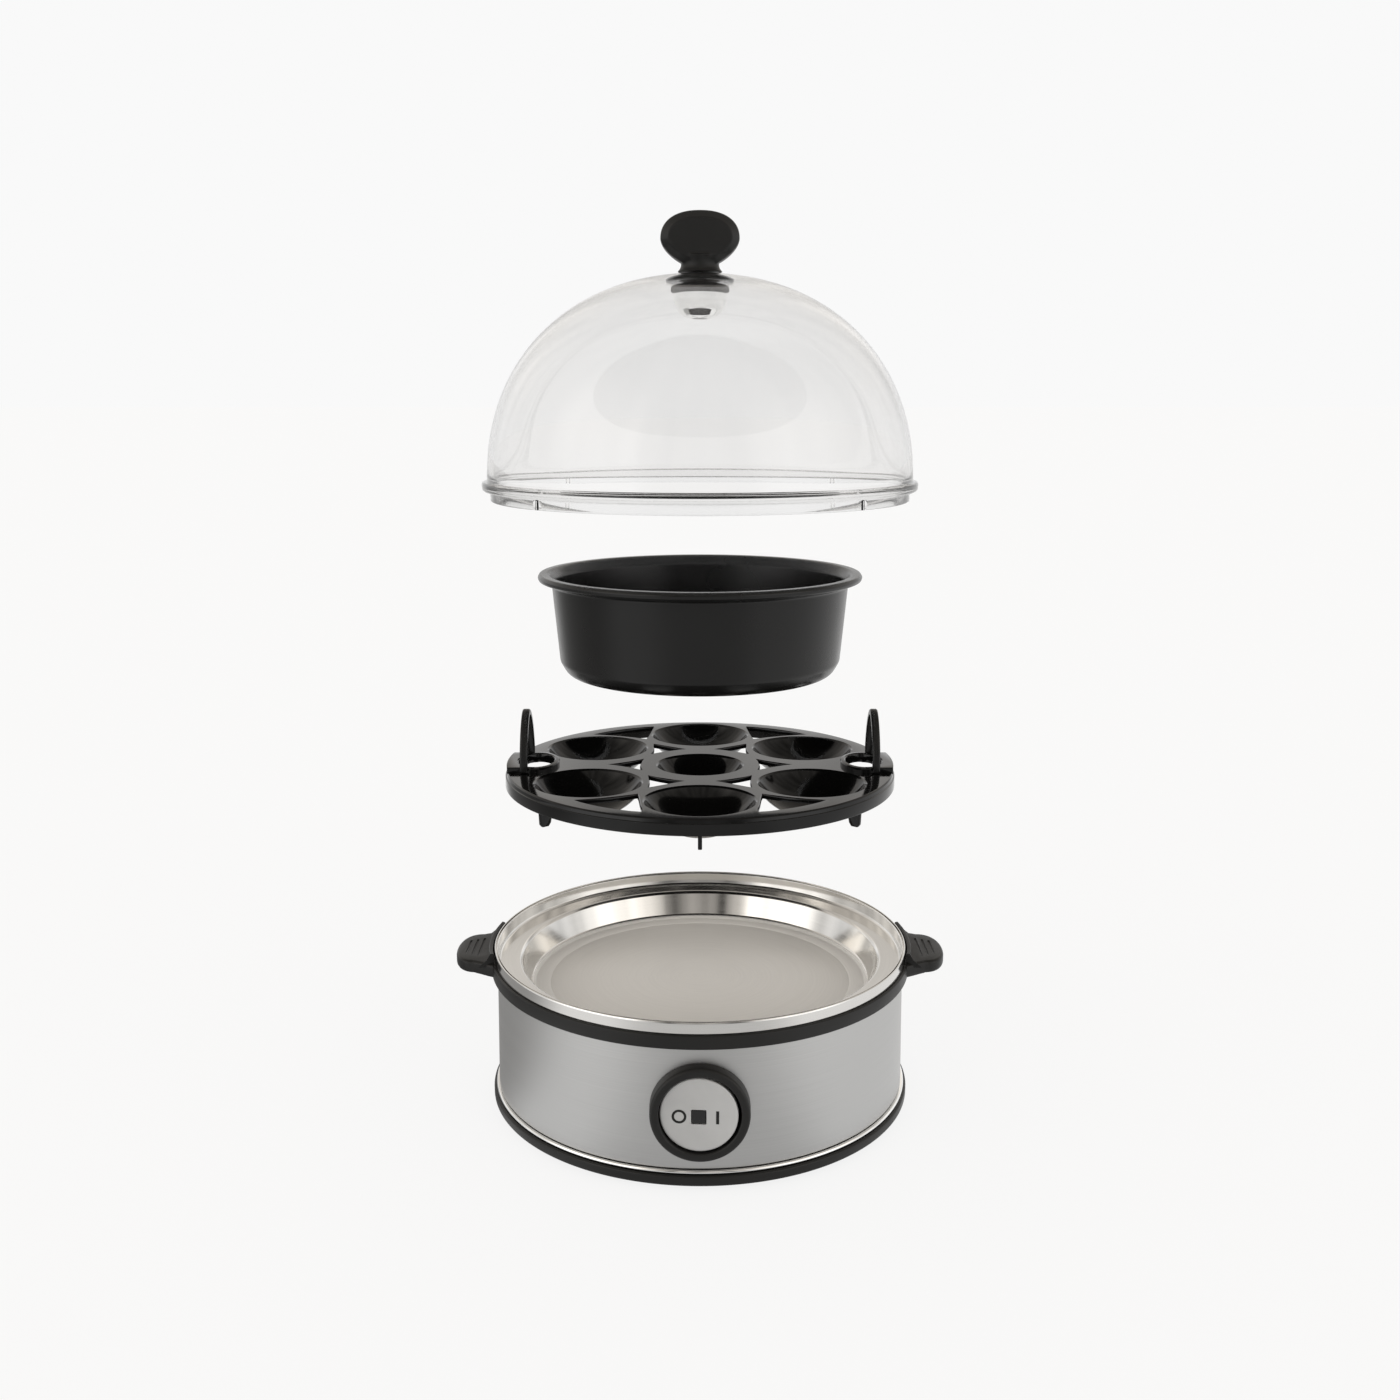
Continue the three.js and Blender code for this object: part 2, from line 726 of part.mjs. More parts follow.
function webOpenings(cups) {
  const rings = cups.map(([x, y]) => post(CUP_RADIUS + CUP_RING, 100, 170, x, y, CUP_ROUND));
  const prism = (corners, flipX, flipY) => {
    const outline = new THREE.Shape(corners.map(([x, y]) => new THREE.Vector2(x * flipX, y * flipY)));
    const opening = new THREE.ExtrudeGeometry(outline, { depth: 5, bevelEnabled: false });
    return cut(opening.translate(0, 0, TRAY_TOP - 4), ...rings);
  };
  const openings = [prism(SIDE_OPENING, 1, 1), prism(SIDE_OPENING, -1, 1)];
  for (const flipX of [-1, 1]) {
    for (const flipY of [-1, 1]) {
      openings.push(prism(INNER_OPENING, flipX, flipY), prism(OUTER_OPENING, flipX, flipY));
    }
  }
  return openings;
}

function oval(radiusX, radiusY, bottom, top, x) {
  const shape = post(1, bottom, top, 0, 0, 20);
  shape.scale(radiusX, radiusY, 1);
  shape.translate(x, 0, 0);
  return shape;
}

function eggTray() {
  const plate = turned([
    [0, TRAY_TOP],
    [TRAY_RADIUS - 0.9, TRAY_TOP],
    [TRAY_RADIUS, TRAY_TOP - 0.9],
    [TRAY_RADIUS, TRAY_SKIRT_BOTTOM],
    [TRAY_RADIUS - 1.8, TRAY_SKIRT_BOTTOM],
    [TRAY_RADIUS - 1.8, TRAY_TOP - TRAY_PLATE],
    [0, TRAY_TOP - TRAY_PLATE],
  ]);
  const cups = outerCups();
  const solids = [cut(plate, ...webOpenings(cups))];
  const hollows = [];
  const places = [[0, 0, CENTRE_CUP_RADIUS], ...cups.map(([x, y]) => [x, y, CUP_RADIUS])];
  for (const [x, y, radius] of places) {
    solids.push(turned(cupShell(radius), CUP_ROUND).translate(x, y, 0));
    hollows.push(turned(cupHollow(radius), CUP_ROUND).translate(x, y, 0));
    hollows.push(post(4.5, 115, TRAY_TOP, x, y, 8));
  }
  for (const side of [-1, 1]) {
    const padTop = TRAY_TOP + 1.8;
    const padMiddle = (padTop + TRAY_TOP - TRAY_PLATE) / 2;
    solids.push(oval(9.0, 13.4, TRAY_TOP - TRAY_PLATE, padTop, side * FINGER_HOLE_X));
    solids.push(block(9.5, 24.8, padTop - TRAY_TOP + TRAY_PLATE, side * 70.2, 0, padMiddle));
    hollows.push(oval(6.9, 10.8, 120, 150, side * FINGER_HOLE_X));
    for (const end of [-1, 1]) {
      hollows.push(block(2.6, 1.6, 3.6, side * LOOP_X, end * LOOP_PEG_Y, TRAY_TOP + 0.6));
    }
  }
  for (const degrees of TRAY_FOOT_ANGLES) solids.push(trayFoot(degrees));
  return cut(joined(...solids), ...hollows);
}

// A thin radial rib under the rim that stands on the pan's ledge.
function trayFoot(degrees) {
  const outline = new THREE.Shape();
  outline.moveTo(69.6, TRAY_TOP - 1.6);
  outline.lineTo(71.6, TRAY_FOOT_BOTTOM + 0.8);
  outline.lineTo(72.6, TRAY_FOOT_BOTTOM);
  outline.lineTo(75.2, TRAY_FOOT_BOTTOM);
  outline.lineTo(75.9, TRAY_FOOT_BOTTOM + 0.8);
  outline.lineTo(76.3, TRAY_SKIRT_BOTTOM + 1);
  outline.lineTo(75.6, TRAY_TOP - 1.6);
  const rib = new THREE.ExtrudeGeometry(outline, { depth: 1.6, bevelEnabled: false });
  rib.rotateX(Math.PI / 2);
  rib.translate(0, 0.8, 0);
  rib.rotateZ(THREE.MathUtils.degToRad(degrees - 90));
  return rib;
}

const LOOP_PEG_Y = LOOP_HALF_WIDTH - LOOP_BAR / 2 - 0.4;

// A lifting loop: an arch in the plane that faces sideways, with two pegs that snap into the tray.
function trayLoop() {
  const foot = TRAY_TOP + 1.8 + GAP;
  const steps = 16;
  const outline = [];
  const curve = (inset, i) => {
    const angle = (Math.PI * i) / steps;
    const power = 2 / LOOP_EXPONENT;
    const wide = (LOOP_HALF_WIDTH - inset) * Math.sign(Math.cos(angle)) * Math.abs(Math.cos(angle)) ** power;
    return new THREE.Vector2(wide, foot + (LOOP_TOP - inset - foot) * Math.sin(angle) ** power);
  };
  for (let i = 0; i <= steps; i += 1) outline.push(curve(0, i));
  for (let i = steps; i >= 0; i -= 1) outline.push(curve(LOOP_BAR, i));
  const arch = new THREE.Shape(outline);
  const options = { depth: 3.0, bevelEnabled: false };
  const hoop = new THREE.ExtrudeGeometry(arch, options);
  hoop.translate(0, 0, -1.5);
  hoop.rotateX(Math.PI / 2);
  hoop.rotateZ(Math.PI / 2);
  const pegs = [-1, 1].map((end) => block(2.0, 1.0, 2.4, 0, end * LOOP_PEG_Y, foot - 0.8));
  return joined(hoop, ...pegs);
}

// ---------------------------------------------------------------- steaming bowl

const steamingBowl = () =>
  turned([
    [0, BOWL_BOTTOM],
    [47.4, BOWL_BOTTOM],
    [50.9, BOWL_BOTTOM + 0.9],
    [53.5, BOWL_BOTTOM + 3.5],
    [54.4, BOWL_BOTTOM + 7],
    [57.1, BOWL_TOP - 4.7],
    [58.4, BOWL_TOP - 2.8],
    [61.3, BOWL_TOP - 2.6],
    [BOWL_RIM_RADIUS, BOWL_TOP - 1.3],
    [61.3, BOWL_TOP],
    [57.8, BOWL_TOP - 0.2],
    [57.1 - BOWL_WALL, BOWL_TOP - 2.6],
    [54.4 - BOWL_WALL, BOWL_BOTTOM + 7.2],
    [52.4, BOWL_BOTTOM + 4.2],
    [50.2, BOWL_BOTTOM + 2.0],
    [47.3, BOWL_BOTTOM + BOWL_WALL],
    [0, BOWL_BOTTOM + BOWL_WALL],
  ]);

// ---------------------------------------------------------------- lid

// Radius of the dome's outer or inner skin at a share of its height, on a superellipse.
function domePoint(share, inset) {
  const angle = (share * Math.PI) / 2;
  const power = 2 / DOME_EXPONENT;
  return [
    (DOME_RADIUS - inset) * Math.cos(angle) ** power,
    DOME_BASE + (DOME_HEIGHT - inset) * Math.sin(angle) ** power,
  ];
}

function lidDome() {
  const shares = [0.1, 0.22, 0.34, 0.46, 0.58, 0.7, 0.8, 0.89, 0.96];
  const screwHole = 2.5;
  const profile = [
    [SKIRT_RADIUS - 1.6, SKIRT_BOTTOM],
    [SKIRT_RADIUS, SKIRT_BOTTOM],
    [SKIRT_RADIUS, BEAD_Z - BEAD_HALF],
    [BEAD_RADIUS - 1.2, BEAD_Z - BEAD_HALF],
    [BEAD_RADIUS, BEAD_Z - 0.7],
    [BEAD_RADIUS, BEAD_Z + 0.7],
    [BEAD_RADIUS - 1.2, BEAD_Z + BEAD_HALF],
    ...shares.map((share) => domePoint(share, 0)),
    [screwHole, DOME_TOP],
    [screwHole, DOME_TOP - DOME_WALL],
    ...shares.map((share) => domePoint(share, DOME_WALL)).reverse(),
    [DOME_RADIUS - DOME_WALL, DOME_BASE],
  ];
  const shell = turnedRing(profile);
  const ribs = [45, 135, 225, 315].map((degrees) => {
    const rib = block(1.6, 2.0, 3.6, 0, -SKIRT_RADIUS - 0.2, SKIRT_BOTTOM + 1.9);
    return rib.rotateZ(THREE.MathUtils.degToRad(degrees));
  });
  return joined(shell, ...ribs);
}

// Outline of the knob's upright paddle: rounder above its widest line, more pointed below it.
function paddleOutline() {
  const upper = { height: KNOB_TOP - KNOB_CENTRE_Z, exponent: 2.3 };
  const lower = { height: 10.4, exponent: 1.55 };
  const steps = 32;
  const points = [];
  for (let i = 0; i < steps; i += 1) {
    const angle = (TAU * i) / steps;
    const { height, exponent } = Math.sin(angle) >= 0 ? upper : lower;
    const power = 2 / exponent;
    const x = KNOB_HALF_WIDTH * Math.sign(Math.cos(angle)) * Math.abs(Math.cos(angle)) ** power;
    const z = height * Math.sign(Math.sin(angle)) * Math.abs(Math.sin(angle)) ** power;
    points.push(new THREE.Vector2(x, KNOB_CENTRE_Z + z));
  }
  return new THREE.Shape(points);
}

function lidKnob() {
  const bevel = 3.2;
  const options = {
    depth: KNOB_DEPTH - 2 * bevel,
    bevelEnabled: true,
    bevelThickness: bevel,
    bevelSize: KNOB_BEVEL,
    bevelOffset: -KNOB_BEVEL,
    bevelSegments: 2,
  };
  const paddle = new THREE.ExtrudeGeometry(paddleOutline(), options);
  paddle.rotateX(Math.PI / 2);
  paddle.translate(0, KNOB_DEPTH / 2 - bevel, 0);
  const seat = DOME_TOP + GAP;
  const neck = turned(
    [
      [0, seat],
      [8.8, seat],
      [7.8, seat + 0.8],
      [7.0, seat + 2.2],
      [7.0, seat + 3.6],
      [7.8, seat + 5.6],
      [0, seat + 5.6],
    ],
    SMALL_ROUND,
  );
  return cut(joined(paddle, neck), post(1.9, seat - 1, seat + 7, 0, 0, 12));
}

const WASHER_TOP = DOME_TOP - DOME_WALL - GAP;
const WASHER_BOTTOM = WASHER_TOP - 3.8;
const CAP_TOP = WASHER_BOTTOM - GAP;

const knobWasher = () =>
  turnedRing(
    [
      [2.6, WASHER_BOTTOM],
      [11.0, WASHER_BOTTOM],
      [10.8, WASHER_BOTTOM + 1.8],
      [7.0, WASHER_TOP - 0.3],
      [2.6, WASHER_TOP],
    ],
    SMALL_ROUND,
  );

const knobCap = () =>
  turnedRing(
    [
      [2.6, CAP_TOP],
      [9.8, CAP_TOP],
      [9.9, CAP_TOP - 2.4],
      [9.0, CAP_TOP - 5.6],
      [7.2, CAP_TOP - 8.2],
      [5.2, CAP_TOP - 9.6],
      [4.2, CAP_TOP - 9.6],
      [4.2, CAP_TOP - 7.4],
      [2.6, CAP_TOP - 7.4],
    ],
    SMALL_ROUND,
  );

function knobScrew() {
  const seat = CAP_TOP - 7.4 - GAP;
  const head = [
    [0, seat - 2.0],
    [2.8, seat - 2.0],
    [3.7, seat - 1.2],
    [3.7, seat],
    [1.6, seat],
    [1.6, DOME_TOP + 5.6],
    [0, DOME_TOP + 5.6],
  ];
  return turned(head, 12);
}

// ---------------------------------------------------------------- assembly

function tieScrew() {
  const seat = FOOT_HEIGHT + 1.2 - GAP;
  const profile = [
    [0, FOOT_HEIGHT + 0.1],
    [2.8, FOOT_HEIGHT + 0.1],
    [3.3, FOOT_HEIGHT + 0.5],
    [3.3, seat],
    [1.5, seat],
    [1.5, 50],
    [0, 50],
  ];
  return turned(profile, 12);
}

function baseAssembly() {
  const base = group(
    piece("heating_pan", heatingPan(), polishedSteel),
    piece("upper_ring", upperRing(), blackPlastic),
    piece("outer_band", outerBand(), brushedSteel),
    piece("trim_ring", trimRing(), chrome),
    piece("bottom_cover", bottomCover(), blackPlastic),
  );
  cornerPlaces(FOOT_PLACE).forEach(([x, y], i) => {
    base.add(piece(`rubber_foot_${i + 1}`, rubberFoot(), rubber, [x, y, 0]));
  });
  cornerPlaces(SCREW_PLACE).forEach(([x, y], i) => {
    base.add(piece(`tie_screw_${i + 1}`, tieScrew(), brushedSteel, [x, y, 0]));
  });
  return base;
}

function heaterAssembly() {
  const heater = group(
    piece("heating_element", heatingElement(), aluminium),
    piece("clamp_plate", clampPlate(), aluminium),
    piece("thermostat", thermostat(), ceramic),
    piece("thermostat_bracket", thermostatBracket(), brushedSteel),
    piece("thermal_fuse", thermalFuse(), whiteNylon, FUSE_PLACE),
    piece("fuse_clip", fuseClip(), brushedSteel, FUSE_PLACE),
  );
  ["left", "right"].forEach((name, i) => {
    const side = i === 0 ? -1 : 1;
    const [x, y] = ELEMENT_END_PLACES[i];
    heater.add(piece(`element_pin_${name}`, elementPin(), brass, [x, y, 0]));
    heater.add(piece(`bracket_screw_${name}`, bracketScrew(), brushedSteel, [side * 17, 0, 0]));
  });
  STUD_ANGLES.forEach((degrees, i) => {
    const [x, y] = around(STUD_CIRCLE, degrees);
    heater.add(piece(`pan_stud_${i + 1}`, panStud(), brushedSteel, [x, y, 0]));
    heater.add(piece(`stud_nut_${i + 1}`, studNut(), brass, [x, y, 0]));
  });
  return heater;
}

function supplyAssembly() {
  const supply = group(
    piece("cord_gland", cordGland(), rubber),
    piece("terminal_block", terminalBlock(), whiteNylon),
  );
  for (const [i, x] of [-10, 0, 10].entries()) {
    supply.add(piece(`terminal_screw_${i + 1}`, terminalScrew(), brass, [x, 0, 0]));
  }
  for (const [name, points] of Object.entries(WIRE_ROUTES)) {
    supply.add(piece(name, wire(points), name.includes("neutral") ? blueWire : brownWire));
  }
  return supply;
}

function switchAssembly() {
  const fixed = group(
    piece("switch_bezel", switchBezel(), blackPlastic),
    piece("switch_body", switchBody(), blackPlastic),
  );
  for (const [name, height] of Object.entries(BLADE_HEIGHTS)) {
    fixed.add(piece(`switch_blade_${name}`, switchBlade(), brass, [0, 0, height]));
  }
  const tilting = group(
    piece("rocker", rocker(), silverPaint, [0, ROCKER_PIVOT, 0]),
    piece("rocker_window", windowLens(), glossBlack, [0, ROCKER_PIVOT, 0]),
    piece("indicator_lamp", indicatorLamp(), clearPlastic, [0, ROCKER_PIVOT, 0]),
  );
  tilting.position.set(0, -ROCKER_PIVOT, 0);
  tilting.rotation.z = ROCKER_TILT;
  return group(fixed, tilting);
}

const trayAssembly = () =>
  group(
    piece("egg_tray", eggTray(), glossBlack),
    piece("tray_loop_left", trayLoop(), glossBlack, [-LOOP_X, 0, 0]),
    piece("tray_loop_right", trayLoop(), glossBlack, [LOOP_X, 0, 0]),
  );

const lidAssembly = () =>
  group(
    piece("lid_dome", lidDome(), clearPlastic),
    piece("lid_knob", lidKnob(), blackPlastic),
    piece("knob_washer", knobWasher(), rubber),
    piece("knob_cap", knobCap(), chrome),
    piece("knob_screw", knobScrew(), brushedSteel),
  );

const eggCooker = group(
  baseAssembly(),
  heaterAssembly(),
  supplyAssembly(),
  switchAssembly(),
  trayAssembly(),
  group(piece("steaming_bowl", steamingBowl(), nonstick)),
  lidAssembly(),
);

export default eggCooker;
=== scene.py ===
import json
import math

import bmesh
import bpy
from mathutils import Matrix, Vector


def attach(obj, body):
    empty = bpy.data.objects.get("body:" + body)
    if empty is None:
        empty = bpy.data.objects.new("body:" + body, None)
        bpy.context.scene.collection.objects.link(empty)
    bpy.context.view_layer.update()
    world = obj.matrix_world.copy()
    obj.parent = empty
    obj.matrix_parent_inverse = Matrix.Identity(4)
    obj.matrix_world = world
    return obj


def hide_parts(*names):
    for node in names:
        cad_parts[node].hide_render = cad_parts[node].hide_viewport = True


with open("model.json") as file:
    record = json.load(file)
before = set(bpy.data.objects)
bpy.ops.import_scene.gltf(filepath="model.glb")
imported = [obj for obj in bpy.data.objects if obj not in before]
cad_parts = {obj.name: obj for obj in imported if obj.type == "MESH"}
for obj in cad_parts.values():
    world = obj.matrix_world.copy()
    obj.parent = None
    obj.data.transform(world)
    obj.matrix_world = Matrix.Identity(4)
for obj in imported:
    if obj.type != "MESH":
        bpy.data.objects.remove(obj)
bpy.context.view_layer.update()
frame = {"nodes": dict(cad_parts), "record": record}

# Lengths in this file are millimetres, and become metres when a mesh is made.
MM = 0.001
FINE = 160  # segments of the large round shells
SMALL = 64  # segments of screws, feet and other small turned pieces

scene = bpy.context.scene


# ---------------------------------------------------------------- camera and surroundings

CAMERA_PLACE = (0.0, -0.5597, 0.2816)
CAMERA_TILT = 78.084
CAMERA_LENS = 37.39
BACKGROUND = 0.947  # what shows behind the object
OVERHEAD = 0.4  # brightness straight above, against that of the horizon
DIFFUSE_FILL = 0.6  # extra light for matt surfaces
SKY_TINT = (1, 0.945, 0.875, 1)
STREAK_SCALE = 4.2
STREAK_DARK, STREAK_LIGHT = -0.45, 0.36
FLOOR_SEEN = 0.97
FLOOR_MIRRORED = 0.93
FRONT_FLOOR = 0.6  # the table in front of the object, as the shiny parts mirror it
LEFT_FLOOR = 0.3  # the same on the left, as a share of the rest
FLOOR_MATT = 0.12  # the share of the floor that takes shadows
# Patches of the surroundings: direction, cosines where each starts and is full, brightness added.
SKY_PATCHES = (
    ((0.0, -1.0, 0.25), 0.78, 0.95, -0.6),
    ((-0.8, -0.55, 0.35), 0.80, 0.97, 0.8),
    ((0.8, -0.55, 0.3), 0.84, 0.98, 0.6),
)


def add_camera():
    data = bpy.data.cameras.new("camera")
    data.lens = CAMERA_LENS
    data.sensor_width = 36.0
    camera = bpy.data.objects.new("camera", data)
    camera.location = CAMERA_PLACE
    camera.rotation_euler = (math.radians(CAMERA_TILT), 0.0, 0.0)
    scene.collection.objects.link(camera)
    scene.camera = camera


def wired(tree, kind, feeds, **values):
    """A shader node with its settings and inputs; a feed may be a socket or a plain value."""
    node = tree.nodes.new(kind)
    for key, value in values.items():
        setattr(node, key, value)
    for key, feed in feeds.items():
        if isinstance(feed, bpy.types.NodeSocket):
            tree.links.new(feed, node.inputs[key])
        else:
            node.inputs[key].default_value = feed
    return node


def arithmetic(tree, operation, *feeds):
    return wired(tree, "ShaderNodeMath", dict(enumerate(feeds)), operation=operation).outputs[0]


def dot_product(tree, direction, axis):
    feeds = {0: direction, 1: axis}
    return wired(tree, "ShaderNodeVectorMath", feeds, operation="DOT_PRODUCT").outputs["Value"]


def fade(tree, value, start, full, low=0.0, high=1.0):
    """A smooth change from low to high while the value goes from start to full."""
    feeds = {"Value": value, "From Min": start, "From Max": full, "To Min": low, "To Max": high}
    return wired(tree, "ShaderNodeMapRange", feeds, interpolation_type="SMOOTHSTEP").outputs["Result"]


def sky_patch(tree, direction, axis, start, full, amount):
    """Brightness added round a direction, fading in between two cosines."""
    return fade(tree, dot_product(tree, direction, Vector(axis).normalized()), start, full, 0.0, amount)


def sky_streaks(tree, direction, height):
    """Soft upright streaks above the horizon, like furniture and curtains round the table."""
    flat = wired(tree, "ShaderNodeVectorMath", {0: direction, 1: (1, 1, 0.12)}, operation="MULTIPLY")
    level = wired(tree, "ShaderNodeVectorMath", {0: flat.outputs[0]}, operation="NORMALIZE")
    feeds = {"Vector": level.outputs[0], "Scale": STREAK_SCALE, "Detail": 3.0}
    texture = wired(tree, "ShaderNodeTexNoise", feeds)
    feeds = {"Value": texture.outputs["Fac"], "From Min": 0.35, "From Max": 0.65}
    feeds.update({"To Min": STREAK_DARK, "To Max": STREAK_LIGHT})
    swing = wired(tree, "ShaderNodeMapRange", feeds).outputs["Result"]
    return arithmetic(tree, "MULTIPLY", swing, fade(tree, height, 0.0, 0.3))


def seen_directly(tree):
    """The kinds of ray, and one for rays from the eye or through the clear lid, nought for others."""
    rays = wired(tree, "ShaderNodeLightPath", {})
    direct = arithmetic(tree, "MAXIMUM", rays.outputs["Is Camera Ray"], rays.outputs["Is Transmission Ray"])
    return rays, direct


def add_world():
    """A white sweep all round, greyer overhead, with soft patches and streaks for the shiny parts."""
    world = bpy.data.worlds.new("studio")
    world.use_nodes = True
    scene.world = world
    tree = world.node_tree
    tree.nodes.clear()
    direction = wired(tree, "ShaderNodeTexCoord", {}).outputs["Generated"]
    height = wired(tree, "ShaderNodeSeparateXYZ", {0: direction}).outputs["Z"]
    base = fade(tree, height, 0.3, 0.95, 1.0, OVERHEAD)
    total = arithmetic(tree, "ADD", 1.0, sky_streaks(tree, direction, height))
    for patch in SKY_PATCHES:
        total = arithmetic(tree, "ADD", total, sky_patch(tree, direction, *patch))
    lit = arithmetic(tree, "MULTIPLY", base, total)
    rays, direct = seen_directly(tree)
    fill = arithmetic(tree, "MULTIPLY_ADD", rays.outputs["Is Diffuse Ray"], DIFFUSE_FILL, BACKGROUND)
    scaled = arithmetic(tree, "MULTIPLY", lit, fill)
    seen = wired(tree, "ShaderNodeMix", {"Factor": direct, "A": scaled, "B": BACKGROUND})
    away = arithmetic(tree, "SUBTRACT", 1.0, direct)
    share = arithmetic(tree, "MULTIPLY", fade(tree, height, 0.05, 0.5), away)
    tint = wired(tree, "ShaderNodeMixRGB", {0: share, 1: (1, 1, 1, 1), 2: SKY_TINT})
    feeds = {"Color": tint.outputs[0], "Strength": seen.outputs["Result"]}
    light = wired(tree, "ShaderNodeBackground", feeds)
    wired(tree, "ShaderNodeOutputWorld", {"Surface": light.outputs[0]})


def add_floor():
    """A glowing white table that takes a faint shadow, darker where the shiny parts mirror it."""
    bpy.ops.mesh.primitive_plane_add(size=60.0, location=(0, 0, 0))
    floor = bpy.context.object
    floor.name = "studio_floor"
    mat = bpy.data.materials.new("floor")
    mat.use_nodes = True
    tree = mat.node_tree
    tree.nodes.clear()
    place = wired(tree, "ShaderNodeTexCoord", {}).outputs["Object"]
    level = wired(tree, "ShaderNodeVectorMath", {0: place}, operation="NORMALIZE")
    ahead = dot_product(tree, level.outputs[0], (0.05, -1, 0))
    left = dot_product(tree, level.outputs[0], (-0.95, 0.3, 0))
    shadow = arithmetic(
        tree,
        "MULTIPLY",
        fade(tree, ahead, 0.7, 0.96, FLOOR_MIRRORED, FRONT_FLOOR),
        fade(tree, left, 0.68, 0.97, 1.0, LEFT_FLOOR),
    )
    feeds = {"Factor": seen_directly(tree)[1], "A": shadow, "B": FLOOR_SEEN}
    seen = wired(tree, "ShaderNodeMix", feeds).outputs["Result"]
    glow = wired(tree, "ShaderNodeEmission", {"Color": (1, 1, 1, 1), "Strength": seen})
    matte = wired(tree, "ShaderNodeBsdfDiffuse", {"Color": (0.9, 0.9, 0.9, 1)})
    mix = wired(tree, "ShaderNodeMixShader", {0: FLOOR_MATT, 1: glow.outputs[0], 2: matte.outputs[0]})
    wired(tree, "ShaderNodeOutputMaterial", {"Surface": mix.outputs[0]})
    floor.data.materials.append(mat)


# ---------------------------------------------------------------- materials

DULL = {"Specular_IOR_Level": 0.3}  # dark moulded parts mirror less than clear plastic
LID_DENSITY = 58.0  # greys the edges of the lid, where the eye looks along its wall
SATIN_RADIUS = 67.6


def principled(name, colour, rough, metal=0.0, **sockets):
    mat = bpy.data.materials.new(name)
    mat.use_nodes = True
    shader = mat.node_tree.nodes["Principled BSDF"]
    shader.inputs["Base Color"].default_value = (*colour, 1)
    shader.inputs["Roughness"].default_value = rough
    shader.inputs["Metallic"].default_value = metal
    for key, value in sockets.items():
        shader.inputs[key.replace("_", " ")].default_value = value
    return mat


def noise(mat, scale, detail=3.0, stretch=(1, 1, 1), polar=False):
    """A noise factor in object space; polar follows the turning direction round the vertical axis."""
    tree = mat.node_tree
    coords = tree.nodes.new("ShaderNodeTexCoord")
    source = coords.outputs["Object"]
    if polar:
        split = tree.nodes.new("ShaderNodeSeparateXYZ")
        angle = tree.nodes.new("ShaderNodeMath")
        angle.operation = "ARCTAN2"
        radius = tree.nodes.new("ShaderNodeVectorMath")
        radius.operation = "LENGTH"
        flat = tree.nodes.new("ShaderNodeVectorMath")
        flat.operation = "MULTIPLY"
        flat.inputs[1].default_value = (1, 1, 0)
        merge = tree.nodes.new("ShaderNodeCombineXYZ")
        tree.links.new(source, split.inputs[0])
        tree.links.new(split.outputs["Y"], angle.inputs[0])
        tree.links.new(split.outputs["X"], angle.inputs[1])
        tree.links.new(source, flat.inputs[0])
        tree.links.new(flat.outputs[0], radius.inputs[0])
        tree.links.new(angle.outputs[0], merge.inputs[0])
        tree.links.new(radius.outputs["Value"], merge.inputs[1])
        tree.links.new(split.outputs["Z"], merge.inputs[2])
        source = merge.outputs[0]
    mapping = tree.nodes.new("ShaderNodeMapping")
    mapping.inputs["Scale"].default_value = stretch
    texture = tree.nodes.new("ShaderNodeTexNoise")
    texture.inputs["Scale"].default_value = scale
    texture.inputs["Detail"].default_value = detail
    tree.links.new(source, mapping.inputs["Vector"])
    tree.links.new(mapping.outputs[0], texture.inputs["Vector"])
    return texture.outputs["Fac"]


def vary_roughness(mat, factor, low, high):
    tree = mat.node_tree
    span = tree.nodes.new("ShaderNodeMapRange")
    span.inputs["From Min"].default_value = 0.3
    span.inputs["From Max"].default_value = 0.7
    span.inputs["To Min"].default_value = low
    span.inputs["To Max"].default_value = high
    tree.links.new(factor, span.inputs["Value"])
    tree.links.new(span.outputs["Result"], tree.nodes["Principled BSDF"].inputs["Roughness"])


def vary_colour(mat, factor, dark, light):
    tree = mat.node_tree
    ramp = tree.nodes.new("ShaderNodeValToRGB")
    ramp.color_ramp.elements[0].position = 0.3
    ramp.color_ramp.elements[0].color = (*dark, 1)
    ramp.color_ramp.elements[1].position = 0.7
    ramp.color_ramp.elements[1].color = (*light, 1)
    tree.links.new(factor, ramp.inputs["Fac"])
    tree.links.new(ramp.outputs["Color"], tree.nodes["Principled BSDF"].inputs["Base Color"])


def add_bump(mat, factor, strength, depth):
    tree = mat.node_tree
    bump = tree.nodes.new("ShaderNodeBump")
    bump.inputs["Strength"].default_value = strength
    bump.inputs["Distance"].default_value = depth * MM
    tree.links.new(factor, bump.inputs["Height"])
    tree.links.new(bump.outputs["Normal"], tree.nodes["Principled BSDF"].inputs["Normal"])


def shade(value, tint=(1.0, 1.0, 1.0)):
    return tuple(value * t for t in tint)


def moulded(name, colour, rough, spread=0.06, grain=2600.0, depth=0.02, **sockets):
    """Injection-moulded plastic or rubber: fine grain, slightly uneven gloss and tone."""
    mat = principled(name, colour, rough, **sockets)
    vary_roughness(mat, noise(mat, 45.0), rough - spread, rough + spread)
    vary_colour(mat, noise(mat, 30.0, 4.0), shade(0.85, colour), shade(1.15, colour))
    add_bump(mat, noise(mat, grain, 2.0), 0.25, depth)
    return mat


def turned_metal(name, colour, low, high, stretch, scale, strength, depth=0.01, spread=0.06, **sockets):
    """Metal with fine marks that run round the vertical axis."""
    mat = principled(name, colour, (low + high) / 2, 1.0, **sockets)
    marks = noise(mat, scale, 3.0, stretch, polar=True)
    vary_roughness(mat, marks, low, high)
    vary_colour(mat, marks, shade(1 - spread, colour), shade(1 + spread, colour))
    add_bump(mat, marks, strength, depth)
    return mat


